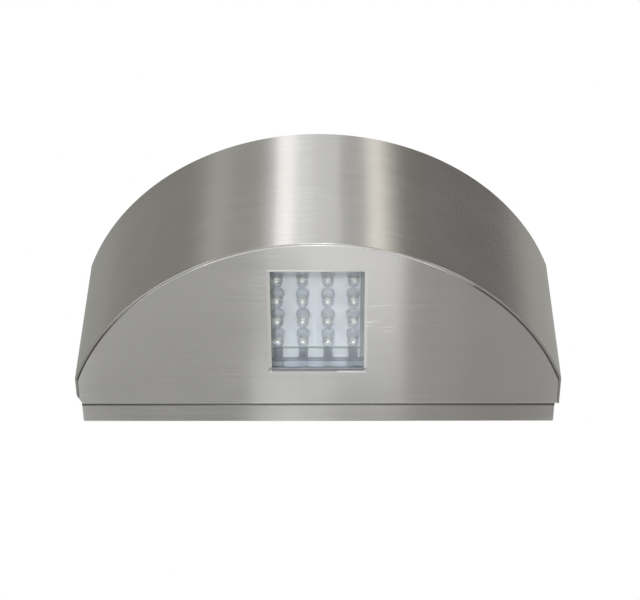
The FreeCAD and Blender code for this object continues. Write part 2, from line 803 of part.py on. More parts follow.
def make_led_lamps():
    """Clear 5 mm LEDs with a rim at the foot and a domed tip, hanging tip down from the board."""
    body = piece("led_lamps")
    shoulder = "(led_radius - led_height)"
    half_profile = [
        ("0", "0"),
        ("led_rim_radius", "0"),
        ("led_rim_radius", "(-led_rim_height)"),
        ("led_radius", "(-led_rim_height)"),
        ("led_radius", shoulder, "led_radius"),
        ("0", opposite("led_height")),
    ]
    lamp = revolve(body, "Lamp", "XZ_Plane", [half_profile])
    steps = [("X_Axis", LED_PITCH_ACROSS, LED_COLUMNS), ("Y_Axis", LED_PITCH_ALONG, LED_ROWS)]
    copies(body, "Grid", [lamp], steps)
    front_row = f"({LED_FIRST_Y} - {LED_ROWS - 1} * {LED_PITCH_ALONG})"
    place(body, LED_FIRST_X, front_row, LED_SEAT)


def make_led_resistors():
    """One resistor for each row, lying on the board's back."""
    body = piece("led_resistors")
    start = f"({LED_FIRST_X} + {LED_PITCH_ACROSS})"
    height = f"({LED_BOARD_TOP} + resistor_radius)"
    spots = [
        circle(f"({LED_FIRST_Y} - {row} * {LED_PITCH_ALONG})", height, "resistor_radius")
        for row in range(LED_ROWS)
    ]
    pad(body, "Resistors", "YZ_Plane", spots, "resistor_length", start)


def make_well_studs():
    body = piece("well_studs")
    length = f"({LED_BOARD_TOP} + stud_nut_height + stud_end - {FLOOR})"
    pad(body, "Studs", "XY_Plane", stud_circles("stud_radius"), length, FLOOR)


def hexagon(x, y, flats):
    """A hexagon with flats across X."""
    half = f"({flats} / 2)"
    corner_up = f"({flats} / 2 / sqrt(3))"
    peak = f"({flats} / sqrt(3))"
    turns = [
        (half, opposite(corner_up)),
        (half, corner_up),
        ("0", peak),
        (opposite(half), corner_up),
        (opposite(half), opposite(corner_up)),
        ("0", opposite(peak)),
    ]
    return [(f"({x} + {dx})", f"({y} + {dy})") for dx, dy in turns]


def make_stud_nuts():
    """Four flange nuts that clamp the stack."""
    body = piece("stud_nuts")
    rims = stud_circles("stud_nut_rim_radius")
    pad(body, "Rims", "XY_Plane", rims, "stud_nut_rim_height", LED_BOARD_TOP)
    hexagons = [hexagon(spot[1], spot[2], "stud_nut_flats") for spot in stud_circles("stud_radius")]
    pad(body, "Hexagons", "XY_Plane", hexagons, "stud_nut_height", LED_BOARD_TOP)
    bores = stud_circles("(stud_radius + thread_clearance)")
    through = "(stud_nut_height + 2 * overrun)"
    pocket(body, "Bores", "XY_Plane", bores, through, f"({LED_BOARD_TOP} - overrun)")


# Solar panel, bonded up against the top plate


def make_solar_panel():
    outline = centred("0", SOLAR_Y, SOLAR_HALF_WIDTH, SOLAR_HALF_LENGTH)
    opening = centred("0", SOLAR_Y, "(solar_opening_width / 2)", "(solar_opening_length / 2)")
    tape = piece("solar_tape")
    pad(tape, "Ring", "XY_Plane", [outline, opening], "solar_tape_thickness", TAPE_UNDER)
    cover = piece("solar_cover")
    pad(cover, "Sheet", "XY_Plane", [outline], "solar_cover_thickness", COVER_UNDER)
    cells = piece("solar_cells")
    first = f"(-{SOLAR_CELLS} * solar_cell_pitch / 2 + solar_cell_gap / 2)"
    strip = rectangle(
        first,
        f"({first} + solar_cell_pitch - solar_cell_gap)",
        f"({SOLAR_Y} - solar_cell_length / 2)",
        f"({SOLAR_Y} + solar_cell_length / 2)",
    )
    cell = pad(cells, "Cell", "XY_Plane", [strip], "solar_cell_thickness", CELL_UNDER)
    copies(cells, "Row", [cell], [("X_Axis", "solar_cell_pitch", SOLAR_CELLS)])
    backing = piece("solar_backing")
    pad(backing, "Sheet", "XY_Plane", [outline], "solar_backing_thickness", BACKING_UNDER)


# Back panel with the battery case, posts and ribs moulded in


def lid_outline(gap):
    """The battery lid with its screw ear, drawn in by gap."""
    left = f"({CASE_LEFT} - lid_ledge + {gap})"
    right = f"({CASE_RIGHT} + lid_ledge - {gap})"
    top = f"({CASE_TOP} + lid_ledge - {gap})"
    ear = f"(lid_ear_width / 2 - {gap})"
    end = f"({LID_EAR_END} - {gap})"
    return [
        (left, opposite(top)),
        (right, opposite(top)),
        (right, opposite(ear)),
        (end, opposite(ear)),
        (end, ear),
        (right, ear),
        (right, top),
        (left, top),
    ]


def post_places():
    across = "(control_width / 2 - post_inset)"
    tall = "(control_height / 2 - post_inset)"
    return [
        (f"({CONTROL_X} {sx} {across})", f"({CONTROL_Z} {sz} {tall})")
        for sx in ("-", "+")
        for sz in ("-", "+")
    ]


def panel_screw_places():
    return [(f"({sx}{BRACKET_X})", f"({sz}{PANEL_SCREW_Z})") for sx in ("-", "") for sz in ("-", "")]


def switch_screw_places():
    reach = "(switch_length / 2 + switch_ear / 2)"
    return [(f"({SWITCH_X} {side} {reach})", SWITCH_Z) for side in ("-", "+")]


def make_back_panel():
    """A moulding: flat panel, battery case with its sunk lid seat, screw boss, four posts and two ribs."""
    body = piece("back_panel")
    sheet_outline = centred("0", "0", PANEL_HALF_WIDTH, PANEL_HALF_HEIGHT)
    pad(body, "Sheet", "XZ_Plane", [sheet_outline], "panel_thickness", PANEL_BACK)
    fillet(body, "Corners", along(Vector(0, 1, 0)), "panel_corner_radius")
    case = rectangle(
        f"({CASE_LEFT} - case_wall)",
        f"({CASE_RIGHT} + case_wall)",
        f"(-{CASE_TOP} - case_wall)",
        f"({CASE_TOP} + case_wall)",
    )
    case_depth = f"({CASE_FLOOR} + case_wall - {PANEL_BACK})"
    pad(body, "Case", "XZ_Plane", [case], case_depth, PANEL_BACK)
    left, half = opposite(RIB_HALF_LENGTH), "(rib_thickness / 2)"
    upper, lower = "rib_offset", opposite("rib_offset")
    ribs = [
        rectangle(left, RIB_HALF_LENGTH, f"({upper} - {half})", f"({upper} + {half})"),
        rectangle(left, f"({CASE_RIGHT} + case_wall)", f"({lower} - {half})", f"({lower} + {half})"),
    ]
    pad(body, "Ribs", "XZ_Plane", ribs, "rib_height", PANEL_FRONT)
    boss = circle(LID_SCREW_X, "0", "lid_boss_radius")
    pad(body, "LidBoss", "XZ_Plane", [boss], "lid_boss_height", PANEL_FRONT)
    posts = [circle(x, z, "post_radius") for x, z in post_places()]
    pad(body, "Posts", "XZ_Plane", posts, "post_height", PANEL_FRONT)
    hollow = rectangle(CASE_LEFT, CASE_RIGHT, opposite(CASE_TOP), CASE_TOP)
    hollow_depth = f"({CASE_FLOOR} - {PANEL_BACK} + overrun)"
    pocket(body, "CaseHollow", "XZ_Plane", [hollow], hollow_depth, f"({PANEL_BACK} - overrun)")
    seat = f"({PANEL_BACK} - overrun)"
    pocket(body, "LidSeat", "XZ_Plane", [lid_outline("0")], "(lid_thickness + overrun)", seat)
    lid_pilot = circle(LID_SCREW_X, "0", PILOT)
    pocket(body, "LidPilot", "XZ_Plane", [lid_pilot], "(small_screw_length + overrun)", seat)
    pilots = [circle(x, z, PILOT) for x, z in post_places()]
    pocket(body, "PostPilots", "XZ_Plane", pilots, "(post_height + overrun)", PANEL_FRONT)
    switch_slot = centred(SWITCH_X, SWITCH_Z, f"({SLOT_HALF} + 2 * switch_play)", KNOB_SLOT_HALF)
    through = "(panel_thickness + 2 * overrun)"
    pocket(body, "SwitchSlot", "XZ_Plane", [switch_slot], through, seat)
    panel_hole = "(panel_screw_radius + screw_hole_clearance)"
    screw_holes = [circle(x, z, panel_hole) for x, z in panel_screw_places()]
    screw_holes += [circle(x, z, PILOT) for x, z in switch_screw_places()]
    pocket(body, "ScrewHoles", "XZ_Plane", screw_holes, through, seat)


def make_battery_lid():
    body = piece("battery_lid")
    pad(body, "Sheet", "XZ_Plane", [lid_outline("lid_gap")], "lid_thickness", PANEL_BACK)
    hole = [circle(LID_SCREW_X, "0", SMALL_SCREW_HOLE)]
    through = "(lid_thickness + 2 * overrun)"
    pocket(body, "ScrewHole", "XZ_Plane", hole, through, f"({PANEL_BACK} - overrun)")


def make_battery_cells():
    """Three round cells lying along X, one above another, the middle one the other way round."""
    body = piece("battery_cells")
    can_length = f"({CELL_LENGTH} - cell_nub_height)"
    start = f"({CASE_LEFT} + contact_room)"
    for number in range(CELLS):
        height = f"({number - 1} * {CELL_PITCH})"
        if number % 2:
            can_start, nub_start = f"({start} + cell_nub_height)", start
        else:
            can_start, nub_start = start, f"({start} + {can_length})"
        can = [circle(opposite(CELL_DEPTH), height, "cell_radius")]
        nub = [circle(opposite(CELL_DEPTH), height, "cell_nub_radius")]
        pad(body, f"Can{number}", "YZ_Plane", can, can_length, can_start)
        pad(body, f"Nub{number}", "YZ_Plane", nub, "cell_nub_height", nub_start)


def make_battery_contacts():
    """A plate on each end wall for each cell, with a pressed cone that bears on the cell."""
    plates = []
    gauge, width, play = value("contact_gauge"), value("contact_width"), value("contact_play")
    depth = -value(CELL_DEPTH)
    reach = value("contact_room - contact_gauge - contact_play")
    for end, wall in ((1, CASE_LEFT), (-1, CASE_RIGHT)):
        for number in range(CELLS):
            height = value(f"{number - 1} * {CELL_PITCH}")
            start = Vector(value(wall), depth, height)
            inward = Vector(end, 0, 0)
            corner = Vector(min(start.x, start.x + end * gauge), depth - width / 2, height - width / 2)
            plate = Part.makeBox(gauge, width, width, corner)
            foot, tip = value("contact_foot_radius"), value("contact_tip_radius")
            plates.append(plate.fuse(Part.makeCone(foot, tip, reach, start + inward * gauge, inward)))
    code_piece("battery_contacts", Part.makeCompound(plates))


# Fasteners that go in from the back or the front of the panel


def screws(label, places, level, radius, length, head_radius, head_height, forward=True, crossed=False):
    """Pan-head screws along Y whose heads seat at level; forward ones point away from the wall."""
    body = piece(label)
    shank_level = level if forward else f"({level} - {length})"
    head_level = f"({level} - {head_height})" if forward else level
    shanks = [circle(x, z, radius) for x, z in places]
    heads = [circle(x, z, head_radius) for x, z in places]
    pad(body, "Shanks", "XZ_Plane", shanks, length, shank_level)
    pad(body, "Heads", "XZ_Plane", heads, head_height, head_level)
    crown = head_level if forward else f"({level} + {head_height})"
    fillet(body, "Crowns", flat_at("Y", -value(crown)), f"({head_height} / 2)")
    if crossed:
        recesses = [cross(x, z) for x, z in places]
        depth = "(recess_depth + overrun)"
        pocket(body, "Recesses", "XZ_Plane", recesses, depth, f"({head_level} - overrun)")


def make_screws():
    panel_shank = ("panel_screw_radius", "panel_screw_length")
    panel_head = ("panel_screw_head_radius", "panel_screw_head_height")
    small_head = ("small_screw_head_radius", "small_screw_head_height")
    lid_shank = ("small_screw_radius", "small_screw_length")
    board_shank = ("small_screw_radius", "post_height")
    switch_shank = ("small_screw_radius", "(panel_thickness + switch_gauge)")
    boards, switches = post_places(), switch_screw_places()
    screws("panel_screws", panel_screw_places(), PANEL_BACK, *panel_shank, *panel_head, crossed=True)
    screws("lid_screw", [(LID_SCREW_X, "0")], PANEL_BACK, *lid_shank, *small_head)
    screws("board_screws", boards, CONTROL_FRONT, *board_shank, *small_head, forward=False)
    screws("switch_screws", switches, FRAME_FRONT, *switch_shank, *small_head, forward=False)


def make_panel_brackets():
    """Four small angles welded inside the housing, tapped for the panel's screws."""
    body = piece("panel_brackets")
    front = f"(-{PANEL_FRONT})"
    angle = [
        (front, ROOF),
        (f"({front} - bracket_foot)", ROOF),
        (f"({front} - bracket_foot)", f"({ROOF} - bracket_gauge)"),
        (f"({front} - bracket_gauge)", f"({ROOF} - bracket_gauge)"),
        (f"({front} - bracket_gauge)", f"({ROOF} - {BRACKET_UPRIGHT})"),
        (front, f"({ROOF} - {BRACKET_UPRIGHT})"),
    ]
    arm = pad(body, "Angle", "YZ_Plane", [angle], "bracket_width", f"({BRACKET_X} - bracket_width / 2)")
    tapped = [circle(BRACKET_X, PANEL_SCREW_Z, "(panel_screw_radius + thread_clearance)")]
    depth = "(bracket_gauge + 2 * overrun)"
    hole = pocket(body, "Tapped", "XZ_Plane", tapped, depth, f"({PANEL_FRONT} - overrun)")
    mirrors(body, "Corners", [arm, hole], ["XY_Plane", "YZ_Plane"])


# Control board


def make_control_board():
    body = piece("control_board")
    half_width, half_height = "(control_width / 2)", "(control_height / 2)"
    outline = centred(CONTROL_X, CONTROL_Z, half_width, half_height)
    holes = [circle(x, z, SMALL_SCREW_HOLE) for x, z in post_places()]
    pad(body, "Sheet", "XZ_Plane", [outline, *holes], "control_thickness", CONTROL_BACK)


CHIP_SHARES = (-0.08, 0.22)
COIL_SHARES = (0.2, 0.25)
CAPACITOR_SHARES = (0.22, -0.18)


def on_control(shares):
    """A place on the control board, as shares of its width and height from its middle."""
    across, up = shares
    x = f"({CONTROL_X} + {across} * control_width)"
    return (x, f"({CONTROL_Z} + {up} * control_height)")


def make_control_parts():
    chip = piece("control_chip")
    x, z = on_control(CHIP_SHARES)
    outline = centred(x, z, "(chip_width / 2)", "(chip_height / 2)")
    pad(chip, "Case", "XZ_Plane", [outline], "chip_thickness", CONTROL_FRONT)
    coil = piece("control_coil")
    x, z = on_control(COIL_SHARES)
    pad(coil, "Winding", "XZ_Plane", [circle(x, z, "coil_neck_radius")], "coil_height", CONTROL_FRONT)
    pad(coil, "FootFlange", "XZ_Plane", [circle(x, z, "coil_radius")], "coil_flange", CONTROL_FRONT)
    top = f"({CONTROL_FRONT} + coil_height - coil_flange)"
    pad(coil, "TopFlange", "XZ_Plane", [circle(x, z, "coil_radius")], "coil_flange", top)
    capacitor = piece("control_capacitor")
    x, z = on_control(CAPACITOR_SHARES)
    can = circle(x, z, "capacitor_radius")
    pad(capacitor, "Can", "XZ_Plane", [can], "capacitor_height", CONTROL_FRONT)


def socket_z(number):
    """The middle socket's height, or the one below or above it."""
    return f"({CONTROL_Z} + {number - 1} * socket_pitch)"


def make_wire_sockets():
    """Three wire sockets along the board's edge that faces the LEDs."""
    body = piece("wire_sockets")
    blocks = [
        rectangle(
            SOCKET_FACE,
            f"({SOCKET_FACE} + socket_width)",
            f"({socket_z(number)} - socket_height / 2)",
            f"({socket_z(number)} + socket_height / 2)",
        )
        for number in range(SOCKET_COUNT)
    ]
    pad(body, "Blocks", "XZ_Plane", blocks, "socket_depth", CONTROL_FRONT)


# Slide switch: steel frame, insulating base, pins, and the slider that moves along X


def make_switch():
    frame = piece("switch_frame")
    half_long = "(switch_length / 2 + switch_ear)"
    outline = centred(SWITCH_X, SWITCH_Z, half_long, "(switch_height / 2)")
    pad(frame, "Plate", "XZ_Plane", [outline], "switch_gauge", PANEL_FRONT)
    skirts = [
        rectangle(
            f"({SWITCH_X} - switch_length / 2)",
            f"({SWITCH_X} + switch_length / 2)",
            f"({SWITCH_Z} {low})",
            f"({SWITCH_Z} {high})",
        )
        for low, high in (
            ("- switch_height / 2", "- switch_height / 2 + switch_gauge"),
            ("+ switch_height / 2 - switch_gauge", "+ switch_height / 2"),
        )
    ]
    pad(frame, "Skirts", "XZ_Plane", skirts, "switch_skirt", FRAME_FRONT)
    knob_hole = centred(SWITCH_X, SWITCH_Z, SLOT_HALF, "(knob_height / 2 + switch_play)")
    holes = [circle(x, z, SMALL_SCREW_HOLE) for x, z in switch_screw_places()]
    through = "(switch_gauge + 2 * overrun)"
    pocket(frame, "Holes", "XZ_Plane", [knob_hole, *holes], through, f"({PANEL_FRONT} - overrun)")

    base = piece("switch_base")
    block = centred(SWITCH_X, SWITCH_Z, "(switch_length / 2)", "(switch_height / 2 - switch_gauge)")
    pad(base, "Block", "XZ_Plane", [block], "switch_depth", FRAME_FRONT)
    cavity = centred(SWITCH_X, SWITCH_Z, CAVITY_HALF, "(carriage_height / 2 + switch_play)")
    cavity_depth = "(carriage_thickness + switch_play + overrun)"
    pocket(base, "Cavity", "XZ_Plane", [cavity], cavity_depth, f"({FRAME_FRONT} - overrun)")

    slider = piece("switch_slider")
    knob = centred(KNOB_X, SWITCH_Z, "(knob_length / 2)", "(knob_height / 2)")
    knob_start = f"({PANEL_BACK} - knob_proud)"
    carriage_start = f"({FRAME_FRONT} + switch_play / 2)"
    knob_reach = f"({carriage_start} - {knob_start} + carriage_thickness)"
    pad(slider, "Knob", "XZ_Plane", [knob], knob_reach, knob_start)
    carriage = centred(KNOB_X, SWITCH_Z, "(carriage_length / 2)", "(carriage_height / 2)")
    pad(slider, "Carriage", "XZ_Plane", [carriage], "carriage_thickness", carriage_start)

    pins = piece("switch_pins")
    half_thickness, half_width = "(pin_thickness / 2)", "(pin_width / 2)"
    legs = [
        centred(f"({SWITCH_X} + {number - 1} * pin_pitch)", SWITCH_Z, half_thickness, half_width)
        for number in range(PIN_COUNT)
    ]
    pad(pins, "Legs", "XZ_Plane", legs, "pin_length", BASE_FRONT)


# Wires inside, each a run of straights and bends between two pieces

# How much of a run's shorter side its bend takes up, and how far a wire's volume may be out
BEND_SHARE = 0.45
VOLUME_SHARE = 0.02
# Where the LED wires leave their board, in pitches from the first LED
LED_LEAD_SHARES = (2.5, 1.5)
# How far up the control board the switch wires end, as a share of its height
SWITCH_LEAD_SHARE = 0.4
# The battery wires' slack between the case and the sockets, and the solar wires' way down
BATTERY_SLACK = ((-12, -43, 4), (12, -44, -3))
SOLAR_DROP = ((20, -49, BACKING_UNDER), (20, -49, 15))


def wire_solid(points, radius):
    """A round wire through the points, its bends as wide as the runs allow."""
    edges = []
    start = points[0]
    for before, corner, after in zip(points, points[1:], points[2:]):
        back, on = (before - corner), (after - corner)
        reach = BEND_SHARE * min(back.Length, on.Length)
        enter = corner + back.normalize() * reach
        leave = corner + on.normalize() * reach
        angle = (enter - corner).getAngle(leave - corner) / 2
        bend = reach * math.tan(angle)
        centre = corner + ((enter + leave) * 0.5 - corner).normalize() * (bend / math.sin(angle))
        middle = centre + (corner - centre).normalize() * bend
        edges.append(Part.LineSegment(start, enter).toShape())
        edges.append(Part.Arc(enter, middle, leave).toShape())
        start = leave
    edges.append(Part.LineSegment(start, points[-1]).toShape())
    path = Part.Wire(edges)
    first = points[1] - points[0]
    ring = Part.Wire([Part.makeCircle(radius, points[0], first)])
    solid = path.makePipeShell([ring], True, True)
    expected = math.pi * radius**2 * path.Length
    if abs(solid.Volume - expected) > VOLUME_SHARE * expected:
        raise ValueError(f"a wire's volume is {solid.Volume:.2f}, not {expected:.2f}")
    return solid


def leads(label, route, sideways):
    """Two wires side by side. The second lies to the side that each point's share of sideways says."""
    radius = value("wire_radius")
    pitch = value("wire_pitch")
    first = [Vector(*(value(part) for part in point)) for point in route]
    second = [point + Vector(*share) * pitch for point, share in zip(first, sideways)]
    code_piece(label, Part.makeCompound([wire_solid(first, radius), wire_solid(second, radius)]))


def make_leads():
    """The wires' routes, from each source to its place on the control board."""
    columns, rows = LED_LEAD_SHARES
    led_x = f"({LED_FIRST_X} + {columns} * {LED_PITCH_ACROSS})"
    led_y = f"({LED_FIRST_Y} - {rows} * {LED_PITCH_ALONG})"
    leads(
        "led_leads",
        [
            (led_x, led_y, LED_BOARD_TOP),
            (led_x, led_y, socket_z(0)),
            (BEND_X, SOCKET_Y, socket_z(0)),
            (SOCKET_FACE, SOCKET_Y, socket_z(0)),
        ],
        [(0, 1, 0), (0, 1, 1), (0, 0, 1), (0, 0, 1)],
    )
    case_side = f"({CASE_RIGHT} + case_wall)"
    leads(
        "battery_leads",
        [
            (case_side, SOCKET_Y, "battery_lead_rise"),
            (f"({case_side} + battery_lead_stub)", SOCKET_Y, "battery_lead_rise"),
            *BATTERY_SLACK,
            (BEND_X, SOCKET_Y, socket_z(1)),
            (SOCKET_FACE, SOCKET_Y, socket_z(1)),
        ],
        [(0, 0, 1)] * 6,
    )
    leads(
        "solar_leads",
        [
            *SOLAR_DROP,
            (BEND_X, SOCKET_Y, socket_z(2)),
            (SOCKET_FACE, SOCKET_Y, socket_z(2)),
        ],
        [(0, -1, 0), (0, -1, 0), (0, 0, 1), (0, 0, 1)],
    )
    pin_x = f"({SWITCH_X} - pin_pitch)"
    board_x = f"({pin_x} - pin_pitch)"
    out_y = f"(-{BASE_FRONT} - switch_lead_reach)"
    board_z = f"({CONTROL_Z} + {SWITCH_LEAD_SHARE} * control_height)"
    next_pin = value("pin_pitch / wire_pitch")
    leads(
        "switch_leads",
        [
            (pin_x, f"(-{BASE_FRONT} - pin_length)", SWITCH_Z),
            (pin_x, out_y, SWITCH_Z),
            (board_x, out_y, board_z),
            (board_x, f"(-{CONTROL_FRONT})", board_z),
        ],
        [(next_pin, 0, 0), (next_pin, 0, 0), (1, 0, 0), (1, 0, 0)],
    )


def write_pieces():
    """Checks every object, then writes each sub-part to its own file."""
    doc.recompute()
    for item in doc.Objects:
        if any(word in state for state in item.State for word in ("Invalid", "Error")):
            raise ValueError(f"{item.Label} failed: {item.State}")
    os.makedirs("parts", exist_ok=True)
    for item in PIECES:
        if item.Shape.isNull() or not item.Shape.isValid():
            raise ValueError(f"{item.Label} has no valid shape")
        item.Shape.exportStep(f"parts/{item.Label}.step")
        print(f"{item.Label}: {len(item.Shape.Solids)} solids, {item.Shape.Volume:.1f} mm3")


make_front_band()
make_bottom_plate()
make_top_plate()
make_wall_tray()
make_housing_screws()
make_tray_nuts()
make_lens_gasket()
make_lens_cover()
make_light_well()
make_led_board()
make_led_lamps()
make_led_resistors()
make_well_studs()
make_stud_nuts()
make_solar_panel()
make_back_panel()
make_battery_lid()
make_battery_cells()
make_battery_contacts()
make_screws()
make_panel_brackets()
make_control_board()
make_control_parts()
make_wire_sockets()
make_switch()
make_leads()
write_pieces()
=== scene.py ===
# %% [markdown]
# # A half-moon wall light of brushed stainless steel
#
# A solar light for an outside wall: a bent steel band between two half-moon plates, slid over a folded
# wall tray. Sixteen clear LEDs shine down through a window in the underside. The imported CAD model
# gives every piece its shape and place. This lesson gives each piece its surface, adds the fine parts
# that only the eye needs, and sets up the studio.

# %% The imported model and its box
import math

import bmesh
import bpy
from mathutils import Euler, Matrix, Vector, noise


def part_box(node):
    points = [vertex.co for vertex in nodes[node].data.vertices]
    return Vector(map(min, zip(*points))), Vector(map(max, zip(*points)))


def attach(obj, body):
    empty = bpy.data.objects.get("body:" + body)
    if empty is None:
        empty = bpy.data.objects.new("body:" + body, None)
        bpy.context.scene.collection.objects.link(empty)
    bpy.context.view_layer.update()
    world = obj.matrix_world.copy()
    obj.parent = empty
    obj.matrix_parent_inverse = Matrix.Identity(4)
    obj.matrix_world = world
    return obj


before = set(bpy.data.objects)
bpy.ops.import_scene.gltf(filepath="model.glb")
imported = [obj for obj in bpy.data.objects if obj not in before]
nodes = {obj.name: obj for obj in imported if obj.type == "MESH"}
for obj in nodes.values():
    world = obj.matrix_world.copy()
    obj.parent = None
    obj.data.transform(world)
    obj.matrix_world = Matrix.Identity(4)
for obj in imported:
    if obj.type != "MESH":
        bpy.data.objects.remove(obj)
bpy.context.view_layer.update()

MM = 0.001
print("CAD nodes:", len(nodes))

# %% [markdown]
# ## Colours
#
# Paint charts and picture editors give colours as sRGB hex values, while shaders work with linear
# light. Typed straight into a socket, a hex value's parts would come out too pale, so one function
# turns the first kind into the second, and every colour below goes through it.

# %% Linear colour from a hex value
def linear(code):
    """An sRGB hex colour as the linear colour that a shader takes."""
    parts = [int(code[start : start + 2], 16) / 255 for start in (0, 2, 4)]
    return (*(part / 12.92 if part <= 0.04045 else ((part + 0.055) / 1.055) ** 2.4 for part in parts), 1)


print("white is", round(linear("FFFFFF")[0], 3), "and mid grey", round(linear("808080")[0], 3))

# %% [markdown]
# ## One way to add a node
#
# A material is a small web of nodes. Written out, each node takes many lines, and a function for each
# kind would be a language of its own to learn. One small function does for all of them: what feeds the
# sockets comes in their order, by name or by number, and the node's settings come by name. A Mix node
# keeps a pair of sockets for each kind of value: 2 and 3 take numbers, and 6 and 7 take colours.

# %% Add a node, with its settings and links
def feed(tree, socket, source):
    """Feeds a socket from a node's first live output, from one output, or with a plain value."""
    if isinstance(source, bpy.types.Node):
        source = next(output for output in source.outputs if output.enabled)
    if isinstance(source, bpy.types.NodeSocket):
        tree.links.new(source, socket)
    else:
        socket.default_value = source


def add_node(tree, kind, feeds=(), **settings):
    """Adds a node. Its feeds come in the sockets' order, or keyed by the socket's name or number."""
    node = tree.nodes.new("ShaderNode" + kind)
    for name, setting in settings.items():
        setattr(node, name, setting)
    pairs = feeds.items() if isinstance(feeds, dict) else enumerate(feeds)
    for key, source in pairs:
        feed(tree, node.inputs[key], source)
    return node


def new_material(name, surface=None):
    """A material whose shader has these values on its own sockets. Returns it, its tree and the shader."""
    material = bpy.data.materials.new(name)
    material.use_nodes = True
    shader = material.node_tree.nodes["Principled BSDF"]
    for socket, setting in (surface or {}).items():
        shader.inputs[socket].default_value = setting
    return material, material.node_tree, shader


kinds = [name for name in dir(bpy.types) if name.startswith("ShaderNode")]
print("kinds of node that it can add:", len(kinds))

# %% [markdown]
# ## Marks, by the place alone
#
# Real metal is marked where it was pressed or touched, and some of the marks below are painted shade
# and painted highlights. Such a mark could be painted on an image, but here it is a mask worked out from
# the place of a point, so it stays sharp and stays put from every side. A mask is 1 on the mark and 0 off
# it. Another colour, and perhaps another gloss, is laid over the finish where all of a mark's masks are 1.

# %% Places and masks
# How wide the edges of masks are drawn
SOFT_EDGE, STEP = 0.05 * MM, 0.1 * MM


def place_parts(tree):
    """Where a point is, as X, Y and Z: the object coordinates are the light's own, in metres."""
    place = add_node(tree, "TexCoord").outputs["Object"]
    return add_node(tree, "SeparateXYZ", (place,)).outputs


def how_far(tree, value, middle=0.0):
    """How far a value is from a middle, to either side."""
    past = add_node(tree, "Math", (value, middle), operation="SUBTRACT")
    return add_node(tree, "Math", (past,), operation="ABSOLUTE")


def between(tree, value, low, high):
    """1 where a value lies between two limits, and 0 beyond a narrow soft edge."""
    risen = add_node(tree, "MapRange", (value, low - SOFT_EDGE, low))
    fallen = add_node(tree, "MapRange", (value, high, high + SOFT_EDGE, 1.0, 0.0))
    return add_node(tree, "Math", (risen, fallen), operation="MULTIPLY")


def lay_over(material, masks, code, roughness=None):
    """Lays another colour, and perhaps another gloss, over a finish where all the masks are 1."""
    tree = material.node_tree
    shader = tree.nodes["Principled BSDF"]
    share, *others = masks
    for mask in others:
        share = add_node(tree, "Math", (share, mask), operation="MULTIPLY")
    colour = shader.inputs["Base Color"]
    under = colour.links[0].from_socket
    feed(tree, colour, add_node(tree, "Mix", {0: share, 6: under, 7: linear(code)}, data_type="RGBA"))
    if roughness is not None:
        gloss = shader.inputs["Roughness"]
        under = gloss.links[0].from_socket
        feed(tree, gloss, add_node(tree, "Mix", {0: share, 2: under, 3: roughness}, data_type="FLOAT"))


print("a mask's soft edge:", SOFT_EDGE / MM, "mm")

# %% [markdown]
# ## Brushed stainless steel
#
# The housing is 304 stainless sheet, ground on a belt before it was bent. The belt leaves thousands of
# fine parallel scratches, so a reflection smears across them and stays sharp along them. That is what
# draws the tall streaks on the band. Drawing every scratch would need a mesh or a texture far finer
# than a pixel. An anisotropic shader gives the smear without them: its tangent says which way it goes.
# Over it come the marks that a close look finds: grain lines, short handling scratches, and the slow
# ripple of rolled sheet, which makes the streaks waver.
#
# Real grain lines are about 0.05 mm apart, far under a pixel, so they are drawn 0.45 mm apart.

# %% Sizes of the marks in the steel
BAND_RADIUS, BAND_CENTRE_Y, BAND_HEIGHT = 112.01 * MM, 12.01 * MM, 80 * MM
GRAIN_GAP, GRAIN_LENGTH, GRAIN_DEPTH = 0.45 * MM, 22 * MM, 0.0006 * MM
STREAK_GAP, STREAK_LENGTH = 1.3 * MM, 60 * MM
SCRATCH_GAP, SCRATCH_LENGTH = 0.5 * MM, 5 * MM
CLOUD_SIZE = 34 * MM
# How long the sheet's ripple is along the grain and across it, and how deep
BAND_RIPPLE = (26 * MM, 30 * MM, 0.13 * MM)
FLAT_RIPPLE = (70 * MM, 48 * MM, 0.035 * MM)
print("grain lines per band height:", round(BAND_HEIGHT / GRAIN_GAP))


# %% Noise along the grain, and which way the grain runs
# How far a face is turned up or down where the smear changes from up the band to along Y
LEVEL_FROM, LEVEL_TO = 0.6, 0.8


def stretched_noise(tree, place, length, gap, detail, roughness=0.5):
    """Noise drawn out along X, and as fine as the gap across it."""
    scaled = add_node(tree, "VectorMath", (place, (1 / length, 1 / gap, 1 / gap)), operation="MULTIPLY")
    feeds = {"Vector": scaled, "Scale": 1.0, "Detail": detail, "Roughness": roughness}
    return add_node(tree, "TexNoise", feeds)


def unrolled(tree, place):
    """The place on the band laid flat: X is how far round the arc it is, and Z stays."""
    parts = add_node(tree, "SeparateXYZ", (place,)).outputs
    ahead = add_node(tree, "Math", (BAND_CENTRE_Y, parts["Y"]), operation="SUBTRACT")
    turn = add_node(tree, "Math", (parts["X"], ahead), operation="ARCTAN2")
    along = add_node(tree, "Math", (turn, BAND_RADIUS), operation="MULTIPLY")
    return add_node(tree, "CombineXYZ", {"X": along, "Z": parts["Z"]})


def across_the_grain(tree, round_the_band):
    """The way a reflection smears: up the band, but along Y on flat faces and on the band's rims."""
    if not round_the_band:
        return add_node(tree, "CombineXYZ", {"Y": 1.0})
    normal = add_node(tree, "NewGeometry").outputs["Normal"]
    facing = add_node(tree, "SeparateXYZ", (normal,)).outputs
    level = how_far(tree, facing["Z"])
    flat = add_node(tree, "MapRange", (level, LEVEL_FROM, LEVEL_TO))
    upright = add_node(tree, "Math", (1.0, flat), operation="SUBTRACT")
    return add_node(tree, "CombineXYZ", {"Y": flat, "Z": upright})


print("the arc's middle is", round(BAND_CENTRE_Y / MM, 2), "mm behind the wall's face")

